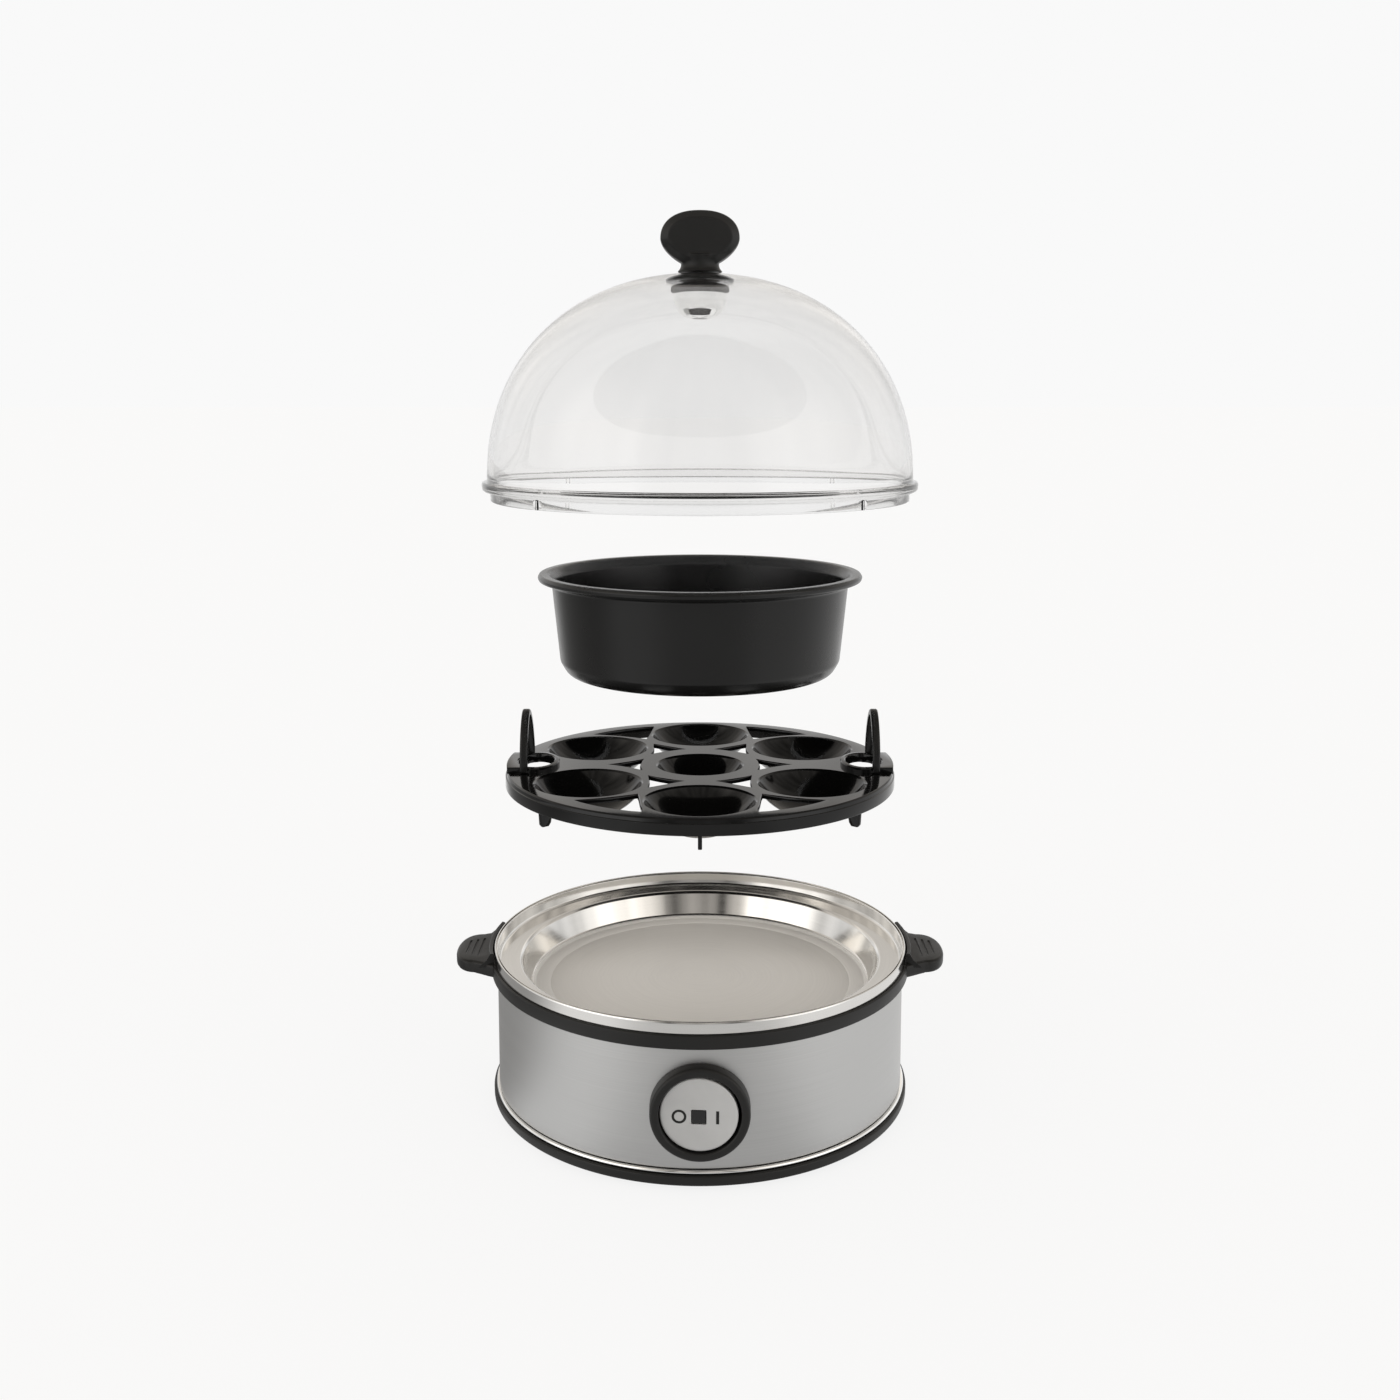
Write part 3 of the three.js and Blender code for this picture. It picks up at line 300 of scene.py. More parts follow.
def satin_floor(mat, edge, socket, value):
    """Gives one shader input another value inside a radius, for the satin floor of the pan."""
    tree = mat.node_tree
    target = tree.nodes["Principled BSDF"].inputs[socket]
    outside = target.links[0].from_socket if target.is_linked else target.default_value
    place = wired(tree, "ShaderNodeTexCoord", {}).outputs["Object"]
    flat = wired(tree, "ShaderNodeVectorMath", {0: place, 1: (1, 1, 0)}, operation="MULTIPLY")
    radius = wired(tree, "ShaderNodeVectorMath", {0: flat.outputs[0]}, operation="LENGTH")
    feeds = {"Value": radius.outputs["Value"], "From Min": edge * MM, "From Max": (edge + 0.8) * MM}
    step = wired(tree, "ShaderNodeMapRange", feeds)
    blend = wired(tree, "ShaderNodeMix", {"Factor": step.outputs["Result"], "A": value, "B": outside})
    tree.links.new(blend.outputs["Result"], target)


def make_materials():
    warm = (1.0, 0.985, 0.955)
    mats = {
        "clear_plastic": principled(
            "clear_plastic", (1.0, 1.0, 1.0), 0.02, Transmission_Weight=1.0, IOR=1.46
        ),
        "black_plastic": moulded("black_plastic", (0.010, 0.0098, 0.0092), 0.42, **DULL),
        "gloss_black": moulded("gloss_black", (0.0035, 0.0035, 0.0034), 0.1, 0.03, 900.0, 0.004, **DULL),
        "loop_black": moulded("loop_black", (0.008, 0.008, 0.0078), 0.25, 0.05, 1500.0, 0.01, **DULL),
        "nonstick": moulded("nonstick", (0.006, 0.0059, 0.0056), 0.25, 0.04, 3400.0, 0.004, **DULL),
        "polished_steel": turned_metal(
            "polished_steel", shade(0.73, warm), 0.1, 0.14, (0.6, 700, 900), 1.6, 0.01, spread=0.02
        ),
        "brushed_steel": turned_metal(
            "brushed_steel", shade(0.53, (1, 1, 0.99)), 0.4, 0.5, (0.9, 0, 5200), 1.4, 0.12
        ),
        "chrome": turned_metal("chrome", (0.93, 0.93, 0.92), 0.05, 0.1, (1, 300, 300), 1.0, 0.04),
        "silver_plastic": moulded(
            "silver_plastic", (0.5, 0.5, 0.495), 0.38, 0.05, 3000.0, 0.01, Metallic=0.45
        ),
        "dark_window": moulded("dark_window", (0.006, 0.006, 0.006), 0.15, 0.03, 600.0, 0.004),
        "lamp_lens": moulded("lamp_lens", (0.45, 0.06, 0.02), 0.25, 0.05, 600.0, 0.004),
        "rubber": moulded("rubber", (0.009, 0.009, 0.0088), 0.75, 0.08, 1800.0, 0.04),
        "brass": turned_metal("brass", (0.62, 0.44, 0.18), 0.25, 0.4, (1, 500, 500), 1.0, 0.1),
        "aluminium": turned_metal("aluminium", (0.6, 0.61, 0.62), 0.35, 0.5, (1, 500, 500), 1.0, 0.15),
        "screw_steel": turned_metal("screw_steel", (0.5, 0.5, 0.49), 0.25, 0.4, (1, 500, 500), 1.0, 0.1),
        "ceramic": moulded("ceramic", (0.74, 0.7, 0.62), 0.55, 0.08, 1500.0, 0.03),
        "nylon": moulded("nylon", (0.7, 0.68, 0.61), 0.45, 0.06, 1500.0, 0.02),
        "blue_wire": moulded("blue_wire", (0.027, 0.08, 0.27), 0.5, 0.06, 900.0, 0.01),
        "brown_wire": moulded("brown_wire", (0.11, 0.043, 0.016), 0.5, 0.06, 900.0, 0.01),
    }
    clear = mats["clear_plastic"]
    vary_roughness(clear, noise(clear, 18.0, 2.0), 0.005, 0.035)
    feeds = {"Color": (0.5, 0.485, 0.46, 1), "Density": LID_DENSITY}
    thickness = wired(clear.node_tree, "ShaderNodeVolumeAbsorption", feeds)
    volume = clear.node_tree.nodes["Material Output"].inputs["Volume"]
    clear.node_tree.links.new(thickness.outputs[0], volume)
    satin_floor(mats["polished_steel"], SATIN_RADIUS, "Roughness", 0.38)
    satin_floor(mats["polished_steel"], SATIN_RADIUS, "Metallic", 0.1)
    return mats


# ---------------------------------------------------------------- mesh helpers


def link(name, mesh):
    obj = bpy.data.objects.new(name, mesh)
    scene.collection.objects.link(obj)
    return obj


def solid(name, verts, faces):
    """An object from corners in millimetres, with its faces turned outwards."""
    mesh = bpy.data.meshes.new(name)
    mesh.from_pydata([tuple(c * MM for c in v) for v in verts], [], faces)
    bm = bmesh.new()
    bm.from_mesh(mesh)
    bmesh.ops.recalc_face_normals(bm, faces=bm.faces)
    if bm.calc_volume(signed=True) < 0:
        bmesh.ops.reverse_faces(bm, faces=bm.faces)
    bm.to_mesh(mesh)
    bm.free()
    return link(name, mesh)


def filleted(points, closed, steps=4):
    """The outline with each corner (x, y, radius) rounded; a corner without a radius stays sharp."""
    out = []
    count = len(points)
    for i, point in enumerate(points):
        here = Vector(point[:2])
        radius = point[2] if len(point) > 2 else 0.0
        if radius <= 0 or (not closed and i in (0, count - 1)):
            out.append(tuple(here))
            continue
        back = Vector(points[i - 1][:2]) - here
        ahead = Vector(points[(i + 1) % count][:2]) - here
        reach = min(back.length, ahead.length) * 0.48
        back.normalize()
        ahead.normalize()
        half = math.acos(max(-1.0, min(1.0, back.dot(ahead)))) / 2
        if half > math.pi / 2 - 0.02:
            out.append(tuple(here))
            continue
        run = min(radius / math.tan(half), reach)
        start, end = here + back * run, here + ahead * run
        centre = here + (back + ahead).normalized() * (run / math.cos(half))
        turn = (start - centre).angle_signed(end - centre)
        for k in range(steps + 1):
            spoke = start - centre
            spoke.rotate(Matrix.Rotation(-turn * k / steps, 2))
            out.append(tuple(centre + spoke))
    return out


def lathe(name, profile, closed=False, segments=FINE, steps=4, facing=None):
    """A turned body: (radius, height[, fillet]) corners; facing "front" or "back" lays its axis along Y."""
    outline = filleted(profile, closed, steps)
    verts, rows = [], []
    for r, z in outline:
        if r < 1e-6:
            rows.append([len(verts)])
            verts.append((0.0, 0.0, z))
            continue
        rows.append(list(range(len(verts), len(verts) + segments)))
        for k in range(segments):
            angle = 2 * math.pi * k / segments
            verts.append((r * math.cos(angle), r * math.sin(angle), z))
    faces = []
    pairs = list(zip(rows, rows[1:] + rows[:1])) if closed else list(zip(rows, rows[1:]))
    for low, high in pairs:
        for k in range(segments):
            n = (k + 1) % segments
            if len(low) == 1 and len(high) == 1:
                break
            if len(low) == 1:
                faces.append((low[0], high[k], high[n]))
            elif len(high) == 1:
                faces.append((low[k], low[n], high[0]))
            else:
                faces.append((low[k], low[n], high[n], high[k]))
    if facing == "front":
        verts = [(x, -z, y) for x, y, z in verts]
    if facing == "back":
        verts = [(x, z, y) for x, y, z in verts]
    return solid(name, verts, faces)


def plug(name, radius, low, high, segments, facing=None):
    """A plain round rod from low to high."""
    outline = [(0, low), (radius, low), (radius, high), (0, high)]
    return lathe(name, outline, segments=segments, facing=facing)


def loft(name, outlines):
    """A closed body through outlines of equal count, each a list of (x, y, z)."""
    count = len(outlines[0])
    verts = [v for outline in outlines for v in outline]
    faces = [tuple(range(count - 1, -1, -1))]
    for i in range(len(outlines) - 1):
        a, b = i * count, (i + 1) * count
        for k in range(count):
            n = (k + 1) % count
            faces.append((a + k, a + n, b + n, b + k))
    last = (len(outlines) - 1) * count
    faces.append(tuple(range(last, last + count)))
    return solid(name, verts, faces)


def rounded_box(name, size, centre, radius, steps=3):
    bm = bmesh.new()
    bmesh.ops.create_cube(bm, size=1.0)
    for v in bm.verts:
        v.co = Vector([(c * s + m) * MM for c, s, m in zip(v.co, size, centre)])
    bmesh.ops.bevel(
        bm, geom=bm.edges[:], offset=radius * MM, segments=steps, profile=0.5, affect="EDGES"
    )
    mesh = bpy.data.meshes.new(name)
    bm.to_mesh(mesh)
    bm.free()
    return link(name, mesh)


def shift(obj, x=0.0, y=0.0, z=0.0, turn=0.0):
    """Turns the mesh about Z by degrees, then moves it by millimetres."""
    move = Matrix.Translation((x * MM, y * MM, z * MM))
    obj.data.transform(move @ Matrix.Rotation(math.radians(turn), 4, "Z"))
    return obj


def settle(obj):
    """Puts the object's modifiers into its mesh."""
    graph = bpy.context.evaluated_depsgraph_get()
    mesh = bpy.data.meshes.new_from_object(obj.evaluated_get(graph))
    old = obj.data
    obj.modifiers.clear()
    obj.data = mesh
    bpy.data.meshes.remove(old)
    return obj


def combine(obj, tool, operation):
    step = obj.modifiers.new("combine", "BOOLEAN")
    step.object = tool
    step.operation = operation
    step.solver = "EXACT"
    settle(obj)
    bpy.data.objects.remove(tool)
    return obj


def cut(obj, *tools):
    for tool in tools:
        combine(obj, tool, "DIFFERENCE")
    return obj


def join(obj, *tools):
    for tool in tools:
        combine(obj, tool, "UNION")
    return obj


def soften(obj, width, steps=3, angle=35):
    step = obj.modifiers.new("soften", "BEVEL")
    step.width = width * MM
    step.segments = steps
    step.limit_method = "ANGLE"
    step.angle_limit = math.radians(angle)
    return settle(obj)


def place(obj, body, slot, *nodes, angle=32):
    """Hands the finished piece over: smooth shading, material, body and the CAD nodes it stands for."""
    for poly in obj.data.polygons:
        poly.use_smooth = True
    obj.data.set_sharp_from_angle(angle=math.radians(angle))
    obj.data.materials.clear()
    obj.data.materials.append(MATERIALS[slot])
    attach(obj, body)
    if nodes:
        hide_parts(*nodes)
    return obj


def around(radius, degrees):
    angle = math.radians(degrees)
    return radius * math.sin(angle), -radius * math.cos(angle)


# ---------------------------------------------------------------- lid

DOME_BASE = 248.5
DOME_RADIUS = 80.4
DOME_HEIGHT = 76.5
DOME_EXPONENT = 2.17
DOME_WALL = 2.0
DOME_TOP = DOME_BASE + DOME_HEIGHT


def dome_curve(inset, steps=44):
    """Points of the dome's skin from the foot to the top."""
    power = 2 / DOME_EXPONENT
    points = []
    for k in range(1, steps):
        angle = math.pi / 2 * (k / steps)
        points.append(
            (
                (DOME_RADIUS - inset) * math.cos(angle) ** power,
                DOME_BASE + (DOME_HEIGHT - inset) * math.sin(angle) ** power,
            )
        )
    return points


def make_dome():
    inner = dome_curve(DOME_WALL)
    inner.reverse()
    profile = [
        (77.7, 242.0, 0.6),
        (79.3, 242.0, 0.6),
        (79.3, 245.7, 0.4),
        (82.4, 245.7, 1.5),
        (82.4, 249.3, 1.5),
        (80.5, 249.3, 0.5),
        *dome_curve(0.0),
        (2.5, DOME_TOP),
        (2.5, DOME_TOP - DOME_WALL),
        *inner,
        (78.3, 248.4, 0.8),
        (77.7, 247.6, 0.8),
    ]
    dome = lathe("lid_shell", profile, closed=True, segments=192)
    for degrees in (45, 135, 225, 315):
        join(dome, shift(rounded_box("rib", (1.6, 2.0, 3.4), (0, -79.6, 243.9), 0.3), turn=degrees))
    place(dome, "lid", "clear_plastic", "lid_dome")


KNOB_CENTRE = 336.9


def paddle_ring(half_width, up, down, y, steps=72):
    ring = []
    for k in range(steps):
        angle = 2 * math.pi * k / steps
        high, exponent = (up, 2.3) if math.sin(angle) >= 0 else (down, 1.6)
        power = 2 / exponent
        x = half_width * math.copysign(abs(math.cos(angle)) ** power, math.cos(angle))
        z = high * math.copysign(abs(math.sin(angle)) ** power, math.sin(angle))
        ring.append((x, y, KNOB_CENTRE + z))
    return ring


def make_knob():
    layers = [(-7.0, 11.8, 7.4, 7.6), (-4.1, 14.4, 10.0, 10.2), (-3.4, 14.6, 10.2, 10.4)]
    layers += [(-y, w, up, down) for y, w, up, down in reversed(layers)]
    paddle = loft("lid_knob_body", [paddle_ring(w, up, down, y) for y, w, up, down in layers])
    seat = DOME_TOP + 0.3
    neck = lathe(
        "neck",
        [
            (0, seat),
            (8.8, seat, 0.2),
            (7.6, seat + 0.9, 2.0),
            (7.0, seat + 2.4, 2.0),
            (7.1, seat + 3.8, 2.0),
            (8.4, seat + 6.0),
            (0, seat + 6.0),
        ],
        segments=SMALL,
    )
    join(paddle, neck)
    grid = paddle.modifiers.new("grid", "REMESH")
    grid.mode = "VOXEL"
    grid.voxel_size = 0.3 * MM
    relax = paddle.modifiers.new("relax", "SMOOTH")
    relax.factor = 0.5
    relax.iterations = 7
    settle(paddle)
    place(paddle, "lid", "black_plastic", "lid_knob", angle=180)


def make_knob_fittings():
    top = DOME_TOP - DOME_WALL - 0.3
    washer = lathe(
        "lid_knob_washer",
        [(2.6, top - 3.8), (11.0, top - 3.8, 0.4), (10.8, top - 1.6, 1.0), (7.0, top - 0.4, 0.3), (2.6, top)],
        closed=True,
        segments=SMALL,
    )
    place(washer, "lid", "rubber", "knob_washer")
    cap_top = top - 4.1
    cap = lathe(
        "lid_knob_cap",
        [
            (2.6, cap_top),
            (9.8, cap_top, 0.6),
            (9.9, cap_top - 3.0, 2.0),
            (8.8, cap_top - 6.4, 2.5),
            (6.4, cap_top - 8.7, 2.5),
            (3.6, cap_top - 9.6, 0.4),
            (2.9, cap_top - 9.6, 0.2),
            (2.9, cap_top - 7.4),
            (2.6, cap_top - 7.4),
        ],
        closed=True,
        segments=SMALL,
    )
    place(cap, "lid", "chrome", "knob_cap")


# ---------------------------------------------------------------- bowl

BOWL_BOTTOM = 175.0
BOWL_TOP = 214.2


def make_bowl():
    low, top = BOWL_BOTTOM, BOWL_TOP
    profile = [
        (0, low),
        (51.2, low, 6.5),
        (54.3, low + 5.5, 4.0),
        (57.1, top - 4.0, 1.6),
        (60.9, top - 2.8, 0.6),
        (62.0, top - 2.6, 0.9),
        (62.4, top - 1.3, 0.9),
        (61.6, top, 0.8),
        (58.2, top, 2.2),
        (55.9, top - 3.2, 3.0),
        (53.1, low + 6.0, 4.0),
        (50.2, low + 1.3, 6.0),
        (0, low + 1.3),
    ]
    bowl = lathe("steaming_bowl_shell", profile, segments=192, steps=7)
    place(bowl, "bowl", "nonstick", "steaming_bowl")


# ---------------------------------------------------------------- egg tray

TRAY_TOP = 137.4
TRAY_RADIUS = 76.6
CUP_RADIUS = 20.4
CENTRE_CUP_RADIUS = 16.9
CUP_DEPTH = 12.0
FINGER_X = 64.8
LOOP_X = 68.4
CUP_ANGLES = (0, 57, 123, 180, 237, 303)
FOOT_ANGLES = (0, 50.5, 129.5, 180, 230.5, 309.5)


def cup_places():
    outer = [around(51.8 if a % 180 == 0 else 50.5, a) for a in CUP_ANGLES]
    return [(x, y, CUP_RADIUS) for x, y in outer] + [(0.0, 0.0, CENTRE_CUP_RADIUS)]


def cup_depth(radius):
    return CUP_DEPTH * math.sqrt(radius / CUP_RADIUS)


def cup_arc(mouth, depth, drop, steps=14):
    """Profile of part of a sphere, from its bottom to its mouth."""
    sphere = (mouth * mouth + depth * depth) / (2 * depth)
    bottom = TRAY_TOP - drop - depth
    radii = [mouth * math.sin(math.pi / 2 * k / steps) for k in range(1, steps + 1)]
    return [(0, bottom)] + [(r, bottom + sphere - math.sqrt(sphere * sphere - r * r)) for r in radii]


def cup_body(radius, x, y):
    profile = cup_arc(radius + 1.0, cup_depth(radius), 1.3) + [(0, TRAY_TOP - 1.3)]
    return shift(lathe("cup", profile, segments=96), x, y)


def cup_hollow(radius, x, y):
    profile = cup_arc(radius - 0.3, cup_depth(radius) - 0.6, 0.6)
    profile += [(radius, TRAY_TOP - 0.3), (radius + 0.45, TRAY_TOP)]
    profile += [(radius + 1.4, TRAY_TOP + 0.5), (0, TRAY_TOP + 0.5)]
    return shift(lathe("hollow", profile, segments=96), x, y)


def bent_triangle(corners, bulge, flip_x, flip_y, steps=7):
    """Triangle outline whose sides bend inwards by bulge at their middles."""
    points = [Vector((x * flip_x, y * flip_y)) for x, y in corners]
    centre = sum(points, Vector((0, 0))) / 3
    outline = []
    for i, start in enumerate(points):
        end = points[(i + 1) % 3]
        middle = (start + end) / 2
        inward = (centre - middle).normalized() * bulge[i]
        for k in range(steps):
            t = k / steps
            if k == 0:
                outline.append(start.lerp(centre, 0.04))
            else:
                outline.append(start.lerp(end, t) + inward * 4 * t * (1 - t))
    return outline, centre


def slot_tool(corners, bulge, flip_x, flip_y):
    outline, centre = bent_triangle(corners, bulge, flip_x, flip_y)

    def level(spread, z):
        return [(*(p + (p - centre).normalized() * spread), z) for p in outline]

    top = TRAY_TOP
    levels = [(0, top - 4), (0, top - 0.6), (0.15, top - 0.25), (0.5, top), (1.0, top + 0.5)]
    return loft("slot", [level(spread, z) for spread, z in levels])


INNER_SLOT = ([(5.9, -25.2), (20.0, -16.9), (19.4, -34.6)], (1.1, 0.7, 0.4))
SIDE_SLOT = ([(36.5, 0.0), (22.5, -8.9), (22.5, 8.9)], (1.0, 1.3, 1.0))
OUTER_SLOT = ([(46.0, -51.6), (22.8, -43.2), (20.3, -67.0)], (1.5, 0.2, -1.8))


def slot_tools():
    tools = [slot_tool(*SIDE_SLOT, 1, 1), slot_tool(*SIDE_SLOT, -1, 1)]
    for flip_x in (-1, 1):
        for flip_y in (-1, 1):
            tools.append(slot_tool(*INNER_SLOT, flip_x, flip_y))
            tools.append(slot_tool(*OUTER_SLOT, flip_x, flip_y))
    return tools


def oval_tower(name, half_x, half_y, levels, x):
    """Upright oval body: levels are (spread, height)."""
    rings = []
    for spread, z in levels:
        ring = []
        for k in range(72):
            angle = 2 * math.pi * k / 72
            ring.append((x + (half_x + spread) * math.cos(angle), (half_y + spread) * math.sin(angle), z))
        rings.append(ring)
    return loft(name, rings)


def make_tray():
    top = TRAY_TOP
    tray = lathe(
        "egg_tray_plate",
        [
            (0, top),
            (TRAY_RADIUS - 1.1, top, 0.4),
            (TRAY_RADIUS - 0.6, top - 0.5, 0.3),
            (TRAY_RADIUS - 0.4, top - 1.7, 0.2),
            (TRAY_RADIUS, top - 1.8, 0.15),
            (TRAY_RADIUS + 0.1, 131.2, 0.5),
            (TRAY_RADIUS - 1.7, 131.2, 0.4),
            (TRAY_RADIUS - 1.9, top - 1.8, 0.6),
            (0, top - 1.8),
        ],
        segments=192,
    )
    cut(tray, *slot_tools())
    cups = cup_places()
    join(tray, *[cup_body(r, x, y) for x, y, r in cups])
    for side in (-1, 1):
        pad = rounded_box("pad", (12.0, 25.2, 3.8), (side * 71.0, 0, top), 0.5)
        limit = plug("limit", TRAY_RADIUS - 0.5, 120, 150, 192)
        combine(pad, limit, "INTERSECT")
        levels = [(0, top - 1.8), (0, top + 1.3), (-0.25, top + 1.7), (-0.8, top + 1.9)]
        collar = oval_tower("collar", 9.0, 13.4, levels, side * FINGER_X)
        join(tray, collar, pad)
    for degrees in FOOT_ANGLES:
        join(tray, tray_foot(degrees))
    hollows = [cup_hollow(r, x, y) for x, y, r in cups]
    holes = []
    for side in (-1, 1):
        levels = [(0, 120), (0, top + 1.2), (0.2, top + 1.6), (0.6, top + 1.8), (1.2, top + 2.4)]
        holes.append(oval_tower("hole", 6.9, 10.8, levels, side * FINGER_X))
    steam = [shift(plug("steam", 4.6, 120, top, 32), x, y) for x, y, _ in cups]
    cut(tray, *hollows, *holes, *steam)
    place(tray, "tray", "gloss_black", "egg_tray", angle=28)


def tray_foot(degrees):
    side = [
        (69.6, TRAY_TOP - 1.6),
        (71.4, 127.2),
        (72.4, 125.9),
        (75.1, 125.9),
        (75.9, 126.9),
        (76.2, 132.0),
        (75.4, TRAY_TOP - 1.6),
    ]
    foot = loft("foot", [[(x, y, z) for x, z in side] for y in (-0.75, 0.75)])
    soften(foot, 0.35)
    return shift(foot, turn=degrees - 90)


LOOP_HALF = 14.3
LOOP_BAR = 2.6
LOOP_FOOT = TRAY_TOP + 1.9
LOOP_CREST = 159.9


def make_loop(side, node):
    """The lifting loop: a rounded bar along a tall arch that narrows towards its crest."""
    power = 2 / 1.7
    half, rise = LOOP_HALF - LOOP_BAR / 2, LOOP_CREST - LOOP_BAR / 2 - LOOP_FOOT
    steps = 48
    path = [Vector((half, LOOP_FOOT - 1.2))]
    for k in range(steps + 1):
        angle = math.pi * k / steps
        wide = half * math.copysign(abs(math.cos(angle)) ** power, math.cos(angle))
        path.append(Vector((wide, LOOP_FOOT + rise * math.sin(angle) ** power)))
    path.append(Vector((-half, LOOP_FOOT - 1.2)))
    edge = LOOP_BAR / 2
    corners = [(-1.5, -edge, 0.7), (1.5, -edge, 0.7), (1.5, edge, 0.7), (-1.5, edge, 0.7)]
    section = filleted(corners, True, 3)
    rings = []
    for i, point in enumerate(path):
        along = (path[min(i + 1, len(path) - 1)] - path[max(i - 1, 0)]).normalized()
        out = Vector((along.y, -along.x))
        rings.append([(side * LOOP_X + u, point.x + v * out.x, point.y + v * out.y) for u, v in section])
    loop = loft(f"{node}_arch", rings)
    place(loop, "tray", "loop_black", node)


# ---------------------------------------------------------------- base


def make_pan():
    profile = [
        (0, 48.0),
        (60.2, 48.0),
        (60.8, 47.75, 0.3),
        (61.4, 48.0),
        (66.8, 48.0, 1.4),
        (68.6, 49.4, 1.2),
        (71.8, 58.2, 1.0),
        (72.8, 59.2, 1.0),
        (80.7, 59.2, 1.0),
        (81.3, 60.2, 0.6),
        (81.3, 64.4, 0.5),
        (81.8, 65.0, 0.2),
        (81.9, 63.4),
        (82.35, 63.4),
        (82.4, 65.0, 0.15),
        (82.8, 64.9, 0.3),
        (83.0, 64.3, 0.3),
        (83.0, 60.7),
        (82.2, 60.7),
        (82.2, 58.0),
        (73.2, 58.0, 0.5),
        (69.6, 48.4, 1.0),
        (67.2, 46.8, 1.0),
        (0, 46.8),
    ]
    pan = lathe("heating_pan_shell", profile, segments=224)
    place(pan, "base", "polished_steel", "heating_pan")


def grip_outline():
    """Handle outline from the ring outwards, (x, y): a concave flare, near-straight sides, round corners."""
    corners = [(80.0, -20.8), (83.6, -18.9), (85.6, -17.6), (87.4, -16.6), (89.0, -15.9)]
    for k in range(0, 25):
        angle = math.pi * (k / 24 - 0.5)
        x = 90.0 + 8.8 * abs(math.cos(angle)) ** 0.85
        corners.append((x, 15.3 * math.copysign(abs(math.sin(angle)) ** 0.9, math.sin(angle))))
    corners += [(x, -y) for x, y in reversed(corners[:5])]
    return corners


def make_grip(side):
    outline = grip_outline()
    centre_x = 86.0

    def level(inset, z, lift):
        ring = []
        for x, y in outline:
            scale = 1 - inset / 18
            px = centre_x + (x - centre_x) * (scale if x > centre_x else 1)
            ring.append((px * side, y * scale, z + lift * max(0.0, px - 86.0)))
        return ring

    layers = [
        level(1.2, 55.2, 0.06),
        level(0.5, 55.4, 0.06),
        level(0.1, 56.0, 0.05),
        level(0.0, 57.0, 0.0),
        level(0.0, 59.4, 0.0),
        level(0.2, 60.0, 0.0),
        level(0.7, 60.4, 0.0),
        level(1.6, 60.6, 0.0),
    ]
    grip = loft(f"handle_{'left' if side < 0 else 'right'}", layers)
    bite = plug("bite", 82.9, 50, 70, FINE)
    cut(grip, bite)
    grooves = []
    for k in range(3):
        centre = (side * (89.0 + 2.6 * k), 0, 60.7)
        grooves.append(rounded_box("groove", (0.9, 19 - 2.4 * k, 1.0), centre, 0.3))
    cut(grip, *grooves)
    place(grip, "base", "black_plastic")
    make_lip(side)


def make_lip(side):
    """The low wall beside the pan's rim; each end widens into a wing that slopes down to the handle."""
    rings = []
    steps = 40
    spread = 12.2
    for k in range(steps + 1):
        share = 2 * k / steps - 1
        angle = math.radians(spread * share)
        end = max(0.0, (abs(share) - 0.72) / 0.28)
        top = 64.5
        inner, outer, low = 83.5, 85.2 - 0.4 * end, 85.2 + 4.6 * end ** 1.5
        waist = (outer + 0.3 * (low - outer), 61.6 + 0.6 * end)
        corners = [(inner, 59.2), (low, 59.2), waist, (outer, top + 0.3 * end, 0.5), (inner, top, 0.4)]
        section = filleted(corners, True, 3)
        rings.append([(side * r * math.cos(angle), r * math.sin(angle), z) for r, z in section])
    lip = loft(f"handle_lip_{'left' if side < 0 else 'right'}", rings)
    place(lip, "base", "black_plastic")


def make_upper_ring():
    profile = [
        (79.0, 50.5),
        (80.8, 50.5),
        (80.8, 55.1),
        (84.2, 55.1, 0.5),
        (84.2, 60.4, 0.6),
        (82.6, 60.4, 0.3),
        (82.6, 57.7),
        (74.5, 57.7),
        (74.5, 55.1),
        (79.0, 55.1),
    ]
    ring = lathe("upper_ring_rim", profile, closed=True, segments=224)
    place(ring, "base", "black_plastic", "upper_ring")
    for side in (-1, 1):
        make_grip(side)


SWITCH_Z = 31.2
WINDOW_Z = 30.5


def rod_tool(radius, near, far, z, segments=SMALL):
    return shift(plug("rod", radius, near, far, segments, facing="front"), z=z)


def make_band():
    profile = [(81.2, 8.3, 0.2), (82.4, 8.3, 0.3), (81.8, 54.8, 0.3), (81.0, 54.8, 0.2)]
    band = lathe("outer_band_shell", profile, closed=True, segments=224)
    cut(band, rod_tool(15.6, 70, 90, SWITCH_Z), shift(rod_tool(6.5, 70, 90, 20.0), turn=180))
    place(band, "base", "brushed_steel", "outer_band")
    trim = lathe(
        "trim_ring_bead", [(81.2, 6.7), (83.4, 6.7, 0.4), (83.7, 7.3, 0.5), (83.2, 8.0, 0.4), (81.2, 8.0)],
        closed=True, segments=224,
    )
    place(trim, "base", "chrome", "trim_ring")


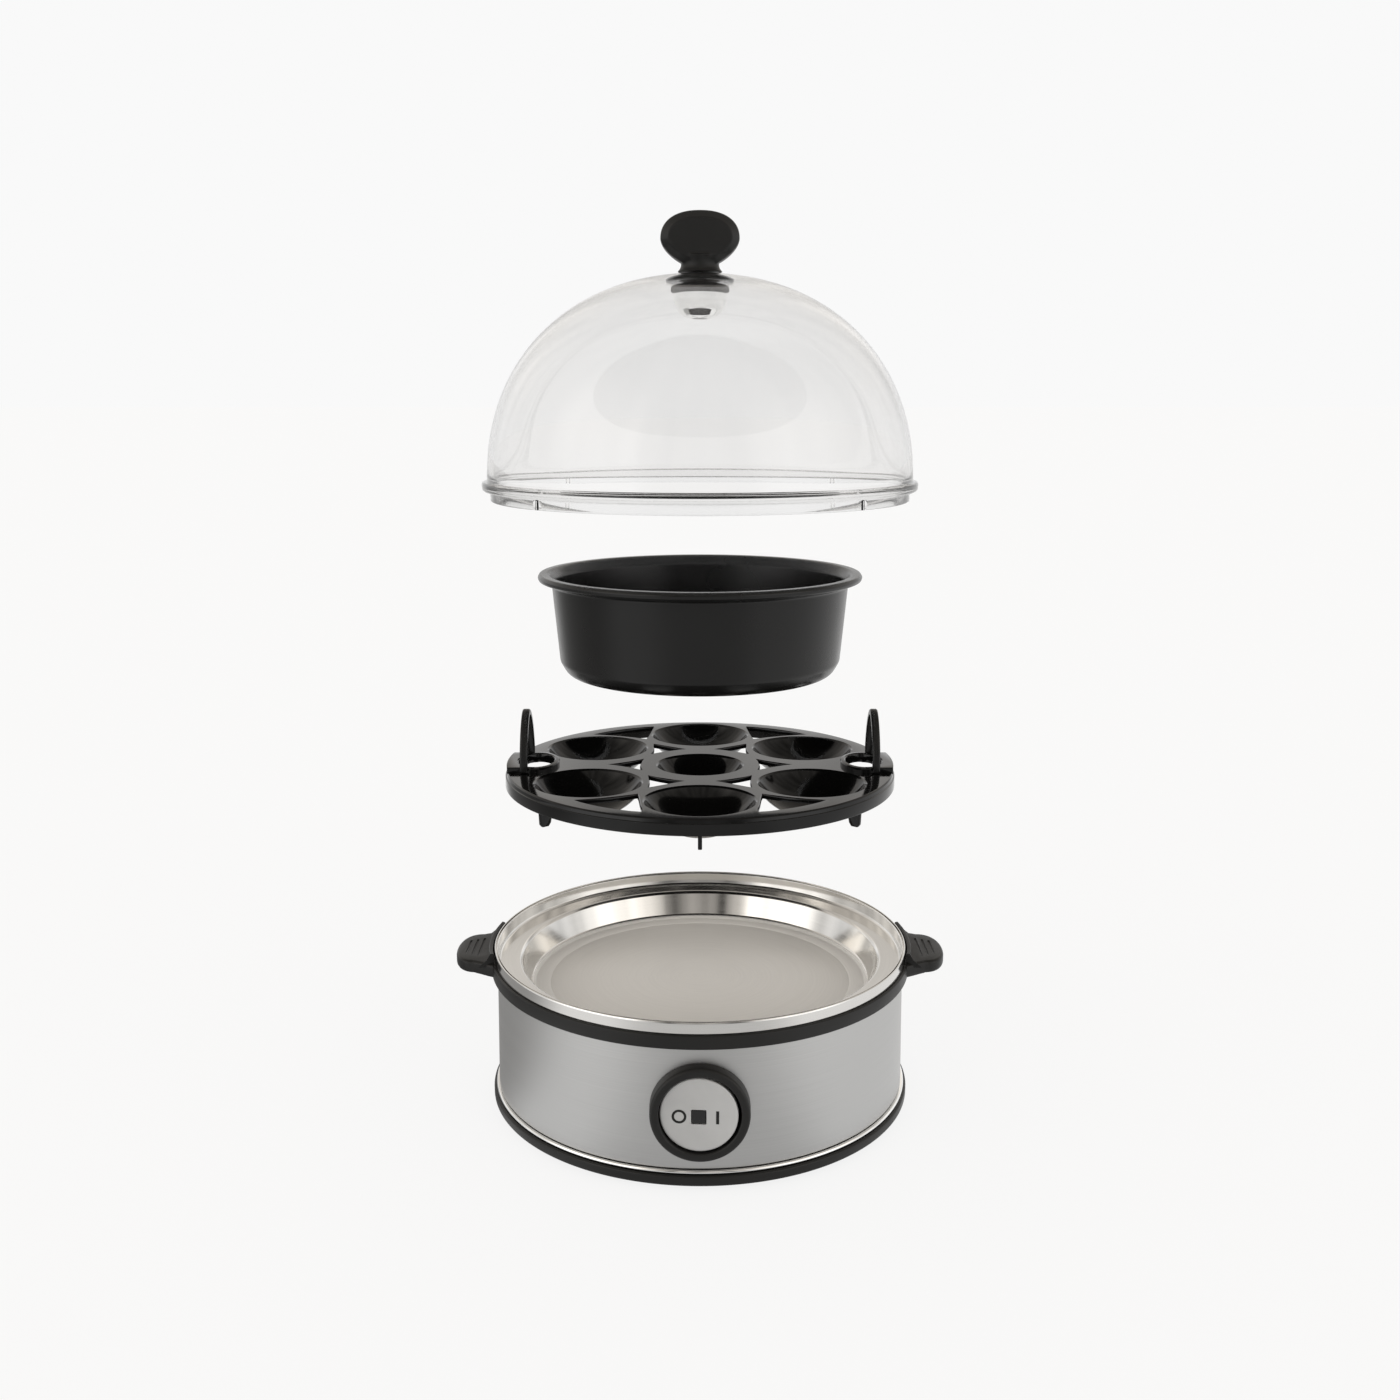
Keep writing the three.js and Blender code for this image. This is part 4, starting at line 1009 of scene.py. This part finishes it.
def make_cover():
    profile = [
        (0, 1.6),
        (82.6, 1.6, 0.6),
        (84.6, 2.8, 1.0),
        (84.6, 6.4, 0.8),
        (80.8, 6.4),
        (80.8, 11.0, 0.3),
        (79.0, 11.0, 0.3),
        (79.0, 3.8, 0.5),
        (0, 3.8),
    ]
    cover = lathe("bottom_cover_dish", profile, segments=224)
    tools = []
    for side in (-1, 1):
        for row in range(4):
            tools.append(rounded_box("vent", (26, 2.6, 8), (side * 18, -15 + 10 * row, 3), 1.2))
    for degrees in (45, 135, 225, 315):
        for radius, top, circle in ((2.9, 6.0, 62.0), (1.9, 6.0, 76.6), (3.7, 2.8, 76.6)):
            x, y = around(circle, degrees)
            tools.append(shift(plug("hole", radius, 0, top, 32), x, y))
    cut(cover, *tools)
    place(cover, "base", "black_plastic", "bottom_cover")
    for i, degrees in enumerate((45, 135, 225, 315), 1):
        profile = [(0, 0), (6.4, 0, 0.5), (6.5, 1.3, 0.3), (2.5, 1.3)]
        profile += [(2.5, 4.1), (3.5, 4.3, 0.3), (2.2, 6.2), (0, 6.2)]
        foot = shift(lathe(f"foot_{i}", profile, segments=SMALL), *around(62.0, degrees))
        place(foot, "base", "rubber", f"rubber_foot_{i}")


# ---------------------------------------------------------------- switch and cord entry

ROCKER_FRONT = 86.0
ROCKER_PIVOT = 79.8
ROCKER_TILT = -4.0


def tilted(obj):
    """Moves a piece made straight ahead to the rocker's rest position."""
    pivot = Matrix.Translation((0, -ROCKER_PIVOT * MM, 0))
    turn = Matrix.Rotation(math.radians(ROCKER_TILT), 4, "Z")
    obj.data.transform(pivot @ turn @ pivot.inverted())
    return obj


def make_bezel():
    profile = [
        (14.8, 76.0),
        (14.8, 87.0, 0.7),
        (18.0, 87.0, 1.3),
        (18.2, 79.0),
        (15.3, 79.0),
        (15.3, 76.0),
    ]
    bezel = shift(lathe("switch_bezel_ring", profile, closed=True, segments=128, facing="front"), z=SWITCH_Z)
    core = lathe("core", [(15.3, 60), (82.35, 60), (82.35, 0), (15.3, 0)], closed=True, segments=FINE)
    sleeve = rod_tool(15.25, 60, 100, SWITCH_Z)
    cut(core, sleeve)
    cut(bezel, core)
    place(bezel, "base", "black_plastic", "switch_bezel")


def make_rocker():
    front = ROCKER_FRONT
    disc = lathe(
        "rocker_disc",
        [(0, 82.6), (14.0, 82.6, 0.3), (14.1, front, 0.6), (12.6, front), (0, front)],
        segments=128,
        facing="front",
    )
    shift(disc, z=SWITCH_Z)
    stem = rounded_box("stem", (14, 5.8, 20.4), (0, -80, SWITCH_Z), 0.4)
    pin = lathe("pin", [(0, 18.6), (1.2, 18.6), (1.2, 43.8), (0, 43.8)], segments=32)
    join(disc, stem, shift(pin, 0, -ROCKER_PIVOT))
    pocket = rounded_box("pocket", (5.5, 6.0, 5.6), (0, -front - 1.4, WINDOW_Z), 0.4)
    cut(disc, pocket, rod_tool(2.4, 70, front - 1.0, SWITCH_Z, 32))
    place(tilted(disc), "rocker", "silver_plastic", "rocker")
    window = rounded_box("rocker_window_lens", (5.0, 1.3, 5.1), (0, -front + 0.7, WINDOW_Z), 0.3)
    place(tilted(window), "rocker", "dark_window", "rocker_window")
    ring = lathe(
        "rocker_mark_off",
        [(1.75, front - 0.3), (2.65, front - 0.3), (2.65, front + 0.06, 0.03), (1.75, front + 0.06, 0.03)],
        closed=True,
        segments=SMALL,
        facing="front",
    )
    shift(ring, x=-7.05, z=SWITCH_Z - 0.7)
    place(tilted(ring), "rocker", "black_plastic")
    bar = rounded_box("rocker_mark_on", (1.1, 0.4, 5.0), (6.7, -front + 0.14, SWITCH_Z - 0.7), 0.05)
    place(tilted(bar), "rocker", "black_plastic")


def make_gland():
    profile = [
        (3.6, 76.5, 0.3),
        (3.6, 87.0, 0.8),
        (6.4, 87.0, 0.8),
        (8.6, 84.8, 0.6),
        (8.6, 82.7, 0.3),
        (6.2, 82.6),
        (6.2, 80.3),
        (8.2, 80.0, 0.4),
        (7.8, 76.5, 0.5),
    ]
    gland = shift(lathe("cord_gland_bush", profile, closed=True, segments=SMALL, facing="back"), z=20.0)
    place(gland, "base", "rubber", "cord_gland")


# ---------------------------------------------------------------- scene


def dress_frame():
    """Gives every CAD node that stays visible its slot's material."""
    slots = {part["node"]: part["material_slot"] for part in frame["record"]["subparts"]}
    for name, obj in frame["nodes"].items():
        obj = obj if hasattr(obj, "data") else bpy.data.objects[name]
        obj.data.materials.clear()
        obj.data.materials.append(MATERIALS[slots[name]])


add_camera()
add_world()
add_floor()
scene.view_settings.view_transform = "Standard"

MATERIALS = make_materials()
dress_frame()
make_dome()
make_knob()
make_knob_fittings()
make_bowl()
make_tray()
make_loop(-1, "tray_loop_left")
make_loop(1, "tray_loop_right")
make_pan()
make_upper_ring()
make_band()
make_cover()
make_bezel()
make_rocker()
make_gland()
